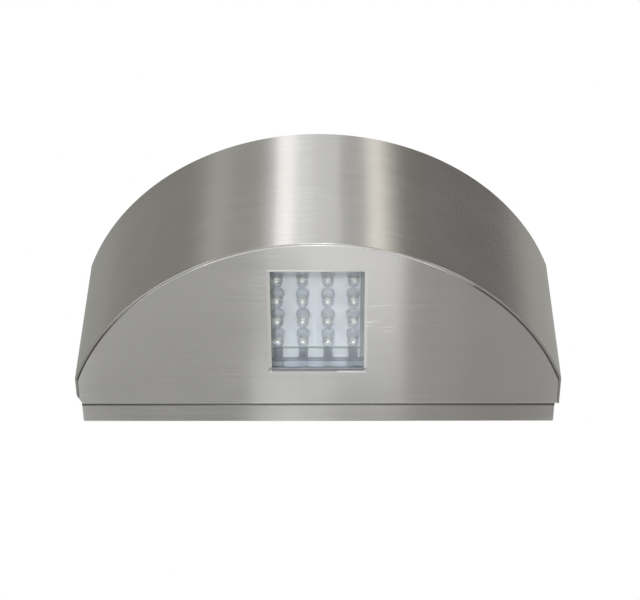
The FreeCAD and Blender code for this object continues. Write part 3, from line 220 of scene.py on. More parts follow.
# %% [markdown]
# ## The steel itself
#
# Clean 304 steel is a light, slightly warm grey. The patterns change it only a little: long streaks
# and slow clouds drift between two near tones and two near glosses, and scratches lie lighter where
# hands have touched the sheet. Their relief is less than a thousandth of a millimetre deep. One
# function makes the steel, because band, plates and tray differ only in tone, gloss and the way the
# belt ran.

# %% Brushed steel, with the grain along X or round the arc
# Where in the noises' range wear grows, a scratch shows and a place counts as touched
WORN_FROM, WORN_TO = 0.9, 2.1
SCRATCHED_FROM, SCRATCHED_TO = 0.60, 0.70
TOUCHED_FROM, TOUCHED_TO, TOUCHED_MOST = 0.48, 0.7, 0.35
# How far wear takes the roughness down and up
GLOSSIER, DULLER = 0.02, 0.03


def brushed_steel(name, dark, light, roughness, round_the_band=False):
    """Belt-ground stainless sheet, with the grain along X or round the band's arc."""
    steel, tree, shader = new_material(name, {"Metallic": 1.0, "Anisotropic": 1.0})
    feed(tree, shader.inputs["Tangent"], across_the_grain(tree, round_the_band))
    place = add_node(tree, "TexCoord").outputs["Object"]
    if round_the_band:
        place = unrolled(tree, place)

    grain = stretched_noise(tree, place, GRAIN_LENGTH, GRAIN_GAP, 4.0, 0.7)
    streaks = stretched_noise(tree, place, STREAK_LENGTH, STREAK_GAP, 3.0)
    clouds = stretched_noise(tree, place, CLOUD_SIZE, CLOUD_SIZE, 3.0)
    lines = stretched_noise(tree, place, SCRATCH_LENGTH, SCRATCH_GAP, 1.0)
    scratches = add_node(tree, "MapRange", (lines, SCRATCHED_FROM, SCRATCHED_TO))
    touched = add_node(tree, "MapRange", (clouds, TOUCHED_FROM, TOUCHED_TO, 0.0, TOUCHED_MOST))
    handled = add_node(tree, "Math", (scratches, touched), operation="MULTIPLY")

    fine_wear = add_node(tree, "Math", (grain, streaks), operation="ADD")
    wear = add_node(tree, "Math", (fine_wear, clouds), operation="ADD")
    worn = add_node(tree, "MapRange", (wear, WORN_FROM, WORN_TO))
    tone = add_node(tree, "Mix", {0: worn, 6: linear(dark), 7: linear(light)}, data_type="RGBA")
    scratched = add_node(tree, "Mix", {0: handled, 6: tone, 7: linear("F2F1EE")}, data_type="RGBA")
    feed(tree, shader.inputs["Base Color"], scratched)
    gloss = add_node(tree, "MapRange", (wear, WORN_FROM, WORN_TO, roughness - GLOSSIER, roughness + DULLER))
    feed(tree, shader.inputs["Roughness"], gloss)

    wave_along, wave_across, wave_depth = BAND_RIPPLE if round_the_band else FLAT_RIPPLE
    ripple = stretched_noise(tree, place, wave_along, wave_across, 1.0)
    bent = add_node(tree, "Bump", {"Height": ripple, "Distance": wave_depth})
    relief = add_node(tree, "Math", (grain, handled), operation="SUBTRACT")
    fine = add_node(tree, "Bump", {"Height": relief, "Distance": GRAIN_DEPTH, "Normal": bent})
    feed(tree, shader.inputs["Normal"], fine)
    return steel


# The band shows tall streaks of light, with a soft waver where the sheet was rolled
band_steel = brushed_steel("stainless_band_belt_ground", "C2C1BE", "D0CFCD", 0.20, round_the_band=True)
# The plates are ground finer: the studio's cards show in them as broad, soft-edged fields
plate_steel = brushed_steel("stainless_plate_belt_ground", "CCCBCA", "D5D4D3", 0.175)
# The tray is duller and a shade darker, so that it reads as a sheet of its own
tray_steel = brushed_steel("stainless_tray_belt_ground", "BDBCBA", "CDCCCA", 0.21)
print("steel:", band_steel.name, plate_steel.name, tray_steel.name)

# %% [markdown]
# ## The window's pressed edge
#
# A punch cut the window and pressed its edge down by 0.4 mm, which polished a narrow frame round it.
# Its light tone is partly that polish and partly a painted highlight. The frame is known by its height
# alone: only it and the fine round of the plate's rim lie just inside the outer face.
# On the lip next to the wall the frame is duller and painted darker as shade, darkest at the left, and
# its cut edge there is painted nearly black as shade. A short stretch at the right gets the lighter shade
# only.

# %% Polish with a painted highlight, and painted shade on the lip round the window
# How far from the light's middle plane the pressed edge and the cut edge lie
COIN_LOW, COIN_HIGH = 39.5 * MM, 39.95 * MM
CUT_LOW, CUT_HIGH = 38.8 * MM, 39.93 * MM
LIP_BACK, LIP_FRONT, LIP_HALF_WIDTH = -32.9 * MM, -31.2 * MM, 19.8 * MM
LIP_UNSHADED_FROM, LIP_UNSHADED_FADE = 8 * MM, 0.9 * MM

tree = plate_steel.node_tree
x, y, z = place_parts(tree)
height = how_far(tree, z)
coined = between(tree, height, COIN_LOW, COIN_HIGH)
cut_edge = between(tree, height, CUT_LOW, CUT_HIGH)
on_lip = add_node(tree, "MapRange", (y, LIP_BACK, LIP_BACK + STEP))
over_lip = between(tree, y, LIP_BACK, LIP_FRONT)
in_window = add_node(tree, "MapRange", (how_far(tree, x), LIP_HALF_WIDTH, LIP_HALF_WIDTH + STEP, 1.0, 0.0))
shaded_left_part = add_node(tree, "MapRange", (x, LIP_UNSHADED_FROM, LIP_UNSHADED_FROM + LIP_UNSHADED_FADE, 1.0, 0.0))
# The pressed frame's light tone: polish, and a painted highlight
lay_over(plate_steel, [coined], "DEDDDB", 0.32)
# The lip next to the wall: painted shade, darker still to the left, and darkest on the cut edge
lay_over(plate_steel, [coined, on_lip], "B4B4B3", 0.5)
lay_over(plate_steel, [coined, on_lip, shaded_left_part, in_window], "8F8F90")
lay_over(plate_steel, [cut_edge, in_window, over_lip], "6A6B6E", 0.5)
# To the right of this the lip gets the lighter painted shade only
print("the lip is clean from", LIP_UNSHADED_FROM / MM, "mm to the right of the middle")

# %% [markdown]
# ## Scuffs, and dirt in the seam
#
# Beside the window a hand or a tool has scuffed the plate: a few pale lines along the grain, inside a
# round patch. Long, thin noise gives the lines and a distance gives the patch. Along the seam between
# band and plate a dark line is painted as the shade in its gap, but only towards both ends of the arc,
# because over the middle the seam is welded shut. Along the housing's rear edge a thin light line is
# painted as a highlight.

# %% Scuffs, painted shade in the seam and a painted highlight on the rear edge
SCUFF_PLACE, SCUFF_FULL, SCUFF_CLEAR = (27 * MM, -60 * MM, 0), 6 * MM, 12 * MM
SCUFF_LENGTH, SCUFF_GAP = 9 * MM, 0.9 * MM
SCUFFED_FROM, SCUFFED_TO, SCUFFED_MOST = 0.59, 0.68, 0.45
SEAM_RADIUS = 110.25 * MM
# The painted shade starts further out at the left than at the right, so it is measured from left of the
# middle
SEAM_MIDDLE, SEAM_UNSHADED, SEAM_SHADED = -12 * MM, 62 * MM, 80 * MM
REAR_HIGHLIGHT_Y, REAR_HIGHLIGHT_SHARE = -13.3 * MM, 0.25


def at_the_ends(tree, x):
    """1 towards both ends of the arc, where the seam and the band's rims get painted shade."""
    return add_node(tree, "MapRange", (how_far(tree, x, SEAM_MIDDLE), SEAM_UNSHADED, SEAM_SHADED))


flat_place = add_node(tree, "CombineXYZ", {"X": x, "Y": y})
from_scuffs = add_node(tree, "VectorMath", (flat_place, SCUFF_PLACE), operation="DISTANCE")
near_scuffs = add_node(tree, "MapRange", (from_scuffs, SCUFF_FULL, SCUFF_CLEAR, 1.0, 0.0))
scuff_noise = stretched_noise(tree, flat_place, SCUFF_LENGTH, SCUFF_GAP, 1.0)
scuffs = add_node(tree, "MapRange", (scuff_noise, SCUFFED_FROM, SCUFFED_TO, 0.0, SCUFFED_MOST))
lay_over(plate_steel, [scuffs, near_scuffs], "FBFAF8", 0.42)

from_centre = add_node(tree, "VectorMath", (flat_place, (0, BAND_CENTRE_Y, 0)), operation="DISTANCE")
at_seam = add_node(tree, "MapRange", (from_centre, SEAM_RADIUS, SEAM_RADIUS + STEP))
# A dark line along the seam's open ends: painted shade in the gap
lay_over(plate_steel, [at_seam, at_the_ends(tree, x)], "6A6866", 0.4)
# A thin light line along the housing's rear edge: a painted highlight
rear_edge_highlight = add_node(tree, "MapRange", (y, REAR_HIGHLIGHT_Y, REAR_HIGHLIGHT_Y + STEP, 0.0, REAR_HIGHLIGHT_SHARE))
lay_over(plate_steel, [rear_edge_highlight], "F2F1EE")
# From this distance off the middle the seam carries its painted shade
print("seam dirt from", round(SEAM_SHADED / MM), "mm off the middle, scuffs within", SCUFF_CLEAR / MM, "mm")

# %% [markdown]
# ## Painted shade on the band's rims and at the joint with the tray
#
# The band's rims are duller towards both ends and painted darker there, as shade by the seam's gap. In
# the gap between housing and tray a dark line is painted as the shade in the groove, and it fades out
# over the last millimetre before the open part of the tray. Both are laid over the steel as before, by
# the place alone.

# %% Painted shade on the rims and in the joint
BAND_EDGE_Z = 39.7 * MM
JOINT_Y, JOINT_FADE = -10.3 * MM, 0.9 * MM

tree = band_steel.node_tree
x, _, z = place_parts(tree)
on_rim = add_node(tree, "MapRange", (how_far(tree, z), BAND_EDGE_Z - STEP, BAND_EDGE_Z))
# The band's rims towards both ends: duller, with painted shade
lay_over(band_steel, [on_rim, at_the_ends(tree, x)], "9E9C98", 0.5)

tree = tray_steel.node_tree
joint_shade = add_node(tree, "MapRange", (place_parts(tree)["Y"], JOINT_Y, JOINT_Y + JOINT_FADE, 1.0, 0.0))
# A dark line in the joint with the tray: painted shade in the groove
lay_over(tray_steel, [joint_shade], "62615F", 0.5)
# The joint's painted shade fades over this width
print("joint dirt fades over", round(JOINT_FADE / MM, 1), "mm")

# %% [markdown]
# ## Clear plastic, glass and epoxy
#
# The window is a flat pane, the solar panel has a glass front, and each LED is cast in clear epoxy.
# Cycles doesn't aim lamps through a solid that refracts, so what lies behind it would stay dark. The
# usual answer is to let shadow rays pass as if the solid were only a tint, and to keep real refraction
# for what the eye sees. Where something touches the back of the solid, some of the eye's rays also
# pass straight, or the touching face would turn black.

# %% One recipe for clear solids
PANE_SHADOW = "F4F6F7"


def clear_solid(name, tint, ior, roughness, shadow_tint, straight=0.0, skin=None):
    """A see-through solid that lets lamps light what is behind it. A share of the rays passes straight."""
    surface = {"Base Color": linear(tint), "Transmission Weight": 1.0, "IOR": ior, "Roughness": roughness}
    clear, tree, shader = new_material(name, {**surface, **(skin or {})})
    shadow = add_node(tree, "LightPath").outputs["Is Shadow Ray"]
    passed = add_node(tree, "BsdfTransparent", (linear(shadow_tint),))
    share = add_node(tree, "MapRange", (shadow, 0.0, 1.0, straight, 1.0))
    both = add_node(tree, "MixShader", (share, shader, passed))
    feed(tree, tree.nodes["Material Output"].inputs["Surface"], both)
    return clear, tree, shader


def soft_lumps(tree, size, detail):
    """Noise whose lumps have a size, in the light's own space."""
    place = add_node(tree, "TexCoord").outputs["Object"]
    return add_node(tree, "TexNoise", {"Vector": place, "Scale": 1 / size, "Detail": detail})


print("a lamp's light keeps a share of", round(linear(PANE_SHADOW)[0], 2), "through the pane")

# %% The pane, the solar glass and the LED epoxy
SMEAR_SIZE, PEEL_SIZE, FLOW_SIZE = 9 * MM, 0.9 * MM, 2.0 * MM
# Where in the noise the pane gets smeared, and how rough it is where wiped and where smeared
SMEARED_FROM, SMEARED_TO, WIPED, SMEARED = 0.45, 0.75, 0.01, 0.07
PEEL_DEPTH, FLOW_DEPTH = 0.001 * MM, 0.016 * MM

# Extruded polycarbonate: almost not there, but faint smears soften what is behind it here and there
polycarbonate, tree, shader = clear_solid("polycarbonate_pane", "FCFDFD", 1.585, 0.03, PANE_SHADOW)
smear_noise = soft_lumps(tree, SMEAR_SIZE, 4.0)
smears = add_node(tree, "MapRange", (smear_noise, SMEARED_FROM, SMEARED_TO, WIPED, SMEARED))
feed(tree, shader.inputs["Roughness"], smears)

# Low-iron float glass over the solar cells: clear and hard, with the faintest peel in its reflections
solar_glass, tree, shader = clear_solid("low_iron_solar_glass", "F6FBF8", 1.52, 0.02, "F3F8F6", 0.8)
peel = add_node(tree, "Bump", {"Height": soft_lumps(tree, PEEL_SIZE, 2.0), "Distance": PEEL_DEPTH})
feed(tree, shader.inputs["Normal"], peel)

# Cast epoxy, polished by its mould: the domes magnify their works and carry sharp points of light.
# The coat's IOR stands in for the dome's inner mirror, which the straight share weakens.
MOULD_POLISH = {"Coat Weight": 1.0, "Coat IOR": 1.8, "Coat Roughness": 0.04}
led_epoxy, tree, shader = clear_solid("clear_led_epoxy", "FDFEFE", 1.54, 0.0, "F0F2F4", 0.62, MOULD_POLISH)
flow = add_node(tree, "Bump", {"Height": soft_lumps(tree, FLOW_SIZE, 1.5), "Distance": FLOW_DEPTH})
feed(tree, shader.inputs["Normal"], flow)
print("clear:", polycarbonate.name, solar_glass.name, led_epoxy.name)

# %% [markdown]
# ## Everything with a grain or a mottle
#
# Most other surfaces need a colour that drifts a little between two near tones, a roughness that
# drifts with it, and a fine relief. Each could have its own web of nodes, but the webs would be alike,
# so one function makes them all. Its sizes are the real ones in millimetres: the cells of a foam, the
# spark texture of a mould, the weave under a lacquer.

# %% One recipe for mottled surfaces
METAL = {"Metallic": 1.0}
# Which part of the noise's range goes from one tone to the other, and from one gloss to the other
DARK_FROM, LIGHT_FROM = 0.35, 0.65
GLOSSY_FROM, DULL_FROM = 0.3, 0.7


def mottled(name, dark, light, size, depth, roughness, surface=None, stretch=(1, 1, 1), spread=0.08):
    """A surface that drifts between two tones at a given size, with a relief of a given depth."""
    made, tree, shader = new_material(name, surface)
    place = add_node(tree, "TexCoord").outputs["Object"]
    fineness = tuple(1 / (size * part) for part in stretch)
    scaled = add_node(tree, "VectorMath", (place, fineness), operation="MULTIPLY")
    drift = add_node(tree, "TexNoise", {"Vector": scaled, "Scale": 1.0, "Detail": 5.0, "Roughness": 0.6})
    share = add_node(tree, "MapRange", (drift, DARK_FROM, LIGHT_FROM))
    tone = add_node(tree, "Mix", {0: share, 6: linear(dark), 7: linear(light)}, data_type="RGBA")
    glosses = roughness - spread, roughness + spread
    gloss = add_node(tree, "MapRange", (drift, GLOSSY_FROM, DULL_FROM, *glosses))
    relief = add_node(tree, "Bump", {"Height": drift, "Strength": 1.0, "Distance": depth})
    for socket, source in {"Base Color": tone, "Roughness": gloss, "Normal": relief}.items():
        feed(tree, shader.inputs[socket], source)
    return made


print("a metal differs from the rest by", METAL)

# %% [markdown]
# ## The white LED board
#
# The board is glass epoxy under a white solder mask, a matt lacquer that is screen printed and stops
# short of the board's edges. Through the window that shows as a thin grey-green margin at the sides
# and at the rear. A second board under a smaller print would do the same with one more mesh. Here the
# board is one surface, a cool white, and the margin is laid over it by the place.

# %% White solder mask with its bare margin
PRINT_HALF_WIDTH = 18.2 * MM
PRINT_REAR_Y = -31.65 * MM
BARE_EPOXY = "8F9794"

# Solder mask gives the eye an even, cool white with a soft sheen, against which the clear LEDs stand out
white_mask = mottled("white_solder_mask", "D4D9E0", "DDE1E7", 6 * MM, 0.010 * MM, 0.38)
tree = white_mask.node_tree
x, y, _ = place_parts(tree)
beside_print = add_node(tree, "MapRange", (how_far(tree, x), PRINT_HALF_WIDTH, PRINT_HALF_WIDTH + STEP))
behind_print = add_node(tree, "MapRange", (y, PRINT_REAR_Y, PRINT_REAR_Y + STEP))
lay_over(white_mask, [beside_print], BARE_EPOXY)
lay_over(white_mask, [behind_print], BARE_EPOXY)
print("printed:", round(2 * PRINT_HALF_WIDTH / MM, 1), "mm across")

# %% [markdown]
# ## Solar cells
#
# Etched silicon is a deep blue that drifts from crystal to crystal. Silver paste is printed over it:
# one wide busbar down each cell and narrow fingers across. Print has no thickness to speak of, so the
# lines are masks and no strips of mesh. Real fingers are about 0.1 mm wide and 2 mm apart, which the
# render can't show, so they are drawn 0.3 mm wide and 3.8 mm apart.

# %% Silicon with its printed silver lines
CELL_PITCH = 11.4 * MM
BUSBAR_WIDTH = 0.75 * MM
FINGER_PITCH, FINGER_WIDTH = 3.8 * MM, 0.3 * MM
SILVER_PASTE = "C9CBCB"


def printed_lines(tree, along, pitch, width):
    """Lines of a width at every pitch, the first half a pitch from the middle."""
    turn = add_node(tree, "Math", (along, pitch, 0.0), operation="WRAP")
    return add_node(tree, "Math", (turn, pitch / 2, width / 2), operation="COMPARE")


# Etched silicon gives a dark crystal blue, with a thin clear gloss over it
silicon = mottled("etched_silicon", "16244F", "263A7A", 3.5 * MM, 0.002 * MM, 0.24, {"Coat Weight": 0.3})
tree = silicon.node_tree
x, y, _ = place_parts(tree)
lay_over(silicon, [printed_lines(tree, x, CELL_PITCH, BUSBAR_WIDTH)], SILVER_PASTE, 0.42)
lay_over(silicon, [printed_lines(tree, y, FINGER_PITCH, FINGER_WIDTH)], SILVER_PASTE, 0.42)
print("busbars every", round(CELL_PITCH / MM, 1), "mm, fingers every", round(FINGER_PITCH / MM, 1), "mm")

# %% [markdown]
# ## The mirrored well
#
# The frame round the LEDs is bent from bright-rolled aluminium, and most of it is a mirror. Its rear
# wall, next to the house wall, shows the board's white again, broken by a dark column under each LED
# of the last row. The drawn epoxy shades less than the real one does, so a darker tone in the metal
# makes up for it. Below the mirror the frame is plain rolled metal, and its flange next to the pane
# is pale, partly its own tone and partly a painted highlight.

# %% Bright aluminium, with its dull parts and the LEDs' shade
LED_COLUMNS = 4
LED_RIM = 2.9 * MM
SHADE_WIDTH, SHADE_DEPTH = 4.0 * MM, 0.64
REAR_WALL_Y = -31.7 * MM
MIRROR_EDGE_Z, FLANGE_Z = -29.6 * MM, -32.4 * MM
ROLLING = (12, 12, 1)

# Bright-rolled aluminium gives a mirror with the faint drawn-out blur of the rolls
mirror_metal = mottled(
    "rolled_bright_aluminium", "D6D8DA", "E6E7E8", 1.2 * MM, 0.0012 * MM, 0.04, METAL, ROLLING, 0.015
)
tree = mirror_metal.node_tree
x, y, z = place_parts(tree)
led_low, led_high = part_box("led_lamps")
led_step_x = (led_high.x - led_low.x - 2 * LED_RIM) / (LED_COLUMNS - 1)
from_middle = add_node(tree, "Math", (x, (led_low.x + led_high.x) / 2), operation="SUBTRACT")
under_leds = printed_lines(tree, from_middle, led_step_x, SHADE_WIDTH)
on_rear_wall = add_node(tree, "MapRange", (y, REAR_WALL_Y, REAR_WALL_Y + STEP, 0.0, SHADE_DEPTH))
lay_over(mirror_metal, [under_leds, on_rear_wall], "6C737B")
below_mirror = add_node(tree, "MapRange", (z, MIRROR_EDGE_Z, MIRROR_EDGE_Z + 2 * STEP, 1.0, 0.0))
lay_over(mirror_metal, [below_mirror], "A2A7AE", 0.20)
# The pale flange: rolled metal, with a painted highlight on it
on_flange = add_node(tree, "MapRange", (z, FLANGE_Z, FLANGE_Z + 2 * STEP, 1.0, 0.0))
lay_over(mirror_metal, [on_flange], "E6EAF0", 0.30)
print("the LEDs stand", round(led_step_x / MM, 2), "mm apart")

# %% [markdown]
# ## Small parts in metal
#
# The screws are turned from A2 stainless steel, and the battery contacts are nickel-plated strip.
# Both are metals with the recipe's usual drift, and differ in tone: steel is a neutral grey, and
# nickel is warmer. Each goes into one dictionary, under the name of its slot in the CAD model.

# %% Screws and contacts
finishes = {
    "brushed_steel": tray_steel,
    "clear_cover": polycarbonate,
    "clear_led": led_epoxy,
    "solar_glass": solar_glass,
    "white_board": white_mask,
    "silicon": silicon,
    "bright_reflector": mirror_metal,
}
# Turned steel gives small bright heads with soft, slightly smeared highlights
finishes["screw_steel"] = mottled("turned_a2_steel", "A9A8A6", "C4C3C1", 0.6 * MM, 0.004 * MM, 0.30, METAL)
# Nickel plate gives a warm, smooth shine that tells the contacts from the steel
finishes["contact_metal"] = mottled(
    "nickel_plated_strip", "C2BDB0", "D6D2C8", 1.0 * MM, 0.002 * MM, 0.22, METAL
)
print("finishes so far:", len(finishes))

# %% [markdown]
# ## Small parts in plastic and foam
#
# The back panel, battery case and switch are moulded ABS with a spark-eroded texture, the sockets are
# natural nylon, and the ring under the pane is closed-cell foam. The cells and the capacitor wear
# shrunk or printed sleeves. Besides the colour, the size of the mottle and the gloss tell them apart.

# %% Mouldings, foam and sleeves
# Spark texture gives black ABS an even, fine-grained sheen without sharp highlights. Its pits are
# about 0.1 mm across, too fine to show, so they are drawn 0.35 mm across.
finishes["black_moulding"] = mottled("spark_textured_abs", "17181A", "222326", 0.35 * MM, 0.015 * MM, 0.48)
# Closed cells give the foam a matt, finely pitted white
finishes["foam"] = mottled("white_closed_cell_foam", "C6C8CA", "D8DADC", 0.7 * MM, 0.12 * MM, 0.88)
# Natural nylon gives a creamy white that lets a little light in
finishes["socket_nylon"] = mottled(
    "natural_nylon_66", "DDD8C8", "E9E5D8", 1.2 * MM, 0.006 * MM, 0.45, {"Subsurface Weight": 0.15}
)
# A printed PET sleeve gives the cells a smooth, glossy green
finishes["cell_wrap"] = mottled("printed_pet_sleeve", "2E6E4A", "3A8058", 14 * MM, 0.004 * MM, 0.30)
# Shrunk PVC gives the capacitor a tight, dark blue gloss
finishes["capacitor_sleeve"] = mottled("shrunk_pvc_sleeve", "1B2436", "24304A", 3 * MM, 0.006 * MM, 0.32)
# Extruded PVC gives the wires a smooth, strong red
finishes["wire_cover"] = mottled("extruded_pvc_wire", "8A1C18", "A82A22", 5 * MM, 0.006 * MM, 0.40)
print("finishes so far:", len(finishes))

# %% [markdown]
# ## Electronic parts
#
# The control board has a green solder mask over glass weave. On it stand a moulded chip and a coil
# with a pressed ferrite core, and on the LED board's back stand resistors in beige lacquer. They are
# hidden inside the housing, but whoever opens the model sees them, so each gets its own finish.

# %% Board, chip, coil and resistors
# A green solder mask gives a deep, glossy green in which the weave just shows
finishes["green_board"] = mottled("green_solder_mask", "14512F", "1C6A3E", 2.5 * MM, 0.012 * MM, 0.35)
# Moulded epoxy gives the chip a dusty black
finishes["chip_black"] = mottled("moulded_epoxy_chip", "1A1A1B", "262627", 0.25 * MM, 0.006 * MM, 0.62)
# Pressed ferrite gives a matt, speckled dark grey
finishes["coil_ferrite"] = mottled("pressed_ferrite", "2B2A2A", "3B3938", 0.5 * MM, 0.02 * MM, 0.66)
# Dipped lacquer gives the resistors a warm beige with a soft gloss
finishes["resistor_lacquer"] = mottled(
    "beige_resistor_lacquer", "C7A878", "D8BD92", 1.5 * MM, 0.02 * MM, 0.42
)
print("finishes:", len(finishes))

# %% [markdown]
# ## Dressing the CAD pieces
#
# Each CAD node arrives with a plain material that is named for its slot. Forty pieces could be dressed
# by hand, but a loop forgets none: it swaps each plain material for the finish of that name. The band
# and the plates are in the tray's slot, but the belt ran another way over them or ground them finer,
# so they get steel of their own.

# %% Give every node its finish
own_steel = {"front_band": band_steel, "bottom_plate": plate_steel, "top_plate": plate_steel}
for name, node in nodes.items():
    for material_slot in node.material_slots:
        slot_name = material_slot.material.name.split(".")[0]
        material_slot.material = own_steel.get(name, finishes[slot_name])
print("dressed:", len(nodes))

# %% [markdown]
# ## Edges that catch the light
#
# Belt-ground sheet is deburred, so no edge is a razor: each has a radius of about a quarter of a
# millimetre, and that thin round is what draws the bright line along the arc. The model's mesh has
# sharp edges, so a weld modifier joins the split corners and a bevel rounds them. The bevel would
# tilt the shading of the large faces next to it, which bends every reflection on the band, so a
# weighted-normal modifier gives the large faces their true direction back. The mesh stays as it came,
# and the bevel doesn't slide its corners along the edges, which would push some of them outwards.

# %% Round the sheet edges
EDGE_RADIUS = 0.22 * MM
JOIN_WITHIN = 0.001 * MM
SHARP_EDGE = math.radians(50)

for name in ("front_band", "bottom_plate", "top_plate", "wall_tray"):
    joined = nodes[name].modifiers.new("join corners", "WELD")
    joined.merge_threshold = JOIN_WITHIN
    bevel = nodes[name].modifiers.new("round edges", "BEVEL")
    bevel.width = EDGE_RADIUS
    bevel.segments = 2
    bevel.loop_slide = False
    bevel.limit_method = "ANGLE"
    bevel.angle_limit = SHARP_EDGE
    straightened = nodes[name].modifiers.new("true large faces", "WEIGHTED_NORMAL")
    straightened.mode = "FACE_AREA_WITH_ANGLE"
    straightened.keep_sharp = True
print("rounded by", EDGE_RADIUS / MM, "mm")

# %% [markdown]
# ## Inside the LEDs: where they stand
#
# A clear LED shows its works: a stamped lead frame with two posts, the wider one carrying a bright
# reflector cup, and in the cup a chip under a pale drop of phosphor. The epoxy dome magnifies all of
# it, and most of the sparkle in the window comes from these parts. The CAD model holds the epoxy
# bodies only, so the works are built here as meshes, once for each place in the grid. The places
# are worked out from the box of all the bodies, less the rim at its edges, so they follow the model.

# %% The LEDs' places
LED_ROWS = 4

led_step_y = (led_high.y - led_low.y - 2 * LED_RIM) / (LED_ROWS - 1)
led_places = [
    Vector((led_low.x + LED_RIM + column * led_step_x, led_low.y + LED_RIM + row * led_step_y, led_high.z))
    for column in range(LED_COLUMNS)
    for row in range(LED_ROWS)
]
print("LEDs:", len(led_places), "seated", round(led_high.z / MM, 2), "mm from the light's middle")

# %% [markdown]
# ## Two ways to make a small part
#
# A stamping is a flat outline given thickness. A cup, a drop or a printed round is turned: rings of
# points, joined one to the next. Both could be cut from ready shapes, but an outline in millimetres
# says at once what the part is, and can be changed by one number. Each function adds its part to one
# mesh, so that sixteen of them stay one piece.

# %% Stampings and turned shapes
RING_POINTS = 20


def extrude_outline(mesh, outline, centre, gauge):
    """A flat stamping: outline points are across and down from the LED's seat, in millimetres."""
    sides = []
    for side in (-0.5, 0.5):
        spots = [centre + Vector((across, side * gauge, -down)) * MM for across, down in outline]
        sides.append([mesh.verts.new(spot) for spot in spots])
    back, front = sides
    mesh.faces.new(back)
    mesh.faces.new(list(reversed(front)))
    for here in range(len(outline)):
        there = (here + 1) % len(outline)
        mesh.faces.new([back[there], back[here], front[here], front[there]])


def join_rings(mesh, first, second):
    """Joins two rings of as many points with a strip of faces."""
    for here in range(len(first)):
        there = (here + 1) % len(first)
        mesh.faces.new([first[here], first[there], second[there], second[here]])


def turned_rings(mesh, rings, centre, closed):
    """A turned shape: each ring is a radius and how far down it is, in millimetres."""
    turns = [2 * math.pi * point / RING_POINTS for point in range(RING_POINTS)]
    loops = []
    for radius, down in rings:
        spots = [Vector((radius * math.cos(turn), radius * math.sin(turn), -down)) for turn in turns]
        loops.append([mesh.verts.new(centre + spot * MM) for spot in spots])
    for first, second in zip(loops, loops[1:]):
        join_rings(mesh, first, second)
    if closed:
        join_rings(mesh, loops[-1], loops[0])
    else:
        mesh.faces.new(list(reversed(loops[0])))
        mesh.faces.new(loops[-1])


print("a ring has", RING_POINTS, "points")


# %% From a mesh to an object, and to a piece that rides on the lamp
SMOOTH_BELOW = math.radians(40)


def new_object(name, mesh, material):
    """Turns a bmesh into an object with one material."""
    data = bpy.data.meshes.new(name)
    mesh.to_mesh(data)
    mesh.free()
    made = bpy.data.objects.new(name, data)
    bpy.context.scene.collection.objects.link(made)
    data.materials.append(material)
    return made


def lamp_piece(name, mesh, material):
    """A smooth piece that rides on the lamp, with one material."""
    bmesh.ops.recalc_face_normals(mesh, faces=mesh.faces)
    piece = new_object(name, mesh, material)
    piece.data.shade_smooth()
    piece.data.set_sharp_from_angle(angle=SMOOTH_BELOW)
    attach(piece, "lamp")
    return piece


print("edges stay sharp above", round(math.degrees(SMOOTH_BELOW)), "degrees")

# %% [markdown]
# ## Lead frames, phosphor drops and footprints
#
# The lead frame is silver-plated strip 0.45 mm thick, stamped into an anvil, which carries the cup,
# and a post, from which the bond wire runs. A real stamping has rounder corners, which the dome hides.
# The phosphor drop fills the cup. Under each LED the board carries a printed round, which the
# epoxy body picks up as its own pale glow.

# %% The works of all the LEDs
# All in millimetres: the strip's gauge, and outlines as points across and down from the LED's seat
FRAME_GAUGE = 0.45
ANVIL = [
    (-1.45, 0.6), (-1.0, 0.6), (-0.9, 2.6), (0.5, 3.5), (0.7, 4.4), (-0.95, 4.4), (-1.3, 3.4), (-1.45, 2.0),
]
POST = [(0.95, 0.6), (1.4, 0.6), (1.4, 4.5), (0.85, 4.8), (0.85, 4.4), (0.95, 4.1)]
# Rings as a radius and how far down from the seat
CUP_RINGS = [(0.6, 4.3), (1.3, 5.3), (1.18, 5.32), (0.5, 4.6)]
PHOSPHOR_RINGS = [(0.5, 4.62), (0.72, 4.95), (0.45, 5.1), (0.18, 5.16)]
FOOTPRINT_RINGS = [(2.35, 0.012), (2.35, 0.04)]

frames = bmesh.new()
drops = bmesh.new()
footprints = bmesh.new()
for spot in led_places:
    turned_rings(footprints, FOOTPRINT_RINGS, spot, False)
    extrude_outline(frames, ANVIL, spot, FRAME_GAUGE)
    extrude_outline(frames, POST, spot, FRAME_GAUGE)
    turned_rings(frames, CUP_RINGS, spot, True)
    turned_rings(drops, PHOSPHOR_RINGS, spot, False)
print("faces in all the lead frames:", len(frames.faces))

# %% Silver, phosphor, and the three pieces
# Silver plate gives the brightest metal in the light, and with it the sparkle in every dome
silver = mottled("silver_plated_lead_frame", "DAD9D5", "EDECE9", 0.4 * MM, 0.001 * MM, 0.24, METAL)
# Phosphor in clear resin gives a pale, faintly yellow, matt drop
phosphor = mottled("pale_phosphor_drop", "EDEBDD", "F6F5EE", 0.15 * MM, 0.004 * MM, 0.4)
lead_frames = lamp_piece("led_lead_frames", frames, silver)
phosphor_drops = lamp_piece("led_phosphor_drops", drops, phosphor)
printed_footprints = lamp_piece("led_footprints", footprints, white_mask)
print("pieces:", lead_frames.name, phosphor_drops.name, printed_footprints.name)

# %% [markdown]
# ## The ground weld
#
# Over most of the arc the band and the lower plate are welded edge to edge and then ground nearly
# flush. What stays is a thin and slightly uneven line in the shallow valley between the two rounded
# edges, bright in the middle and dull towards both ends. A painted line would stay flat when the
# light moves, so the bead is a real strip: seven points across, swept along the arc. Its width
# and crown wander with a smooth noise, because no hand grinds evenly.

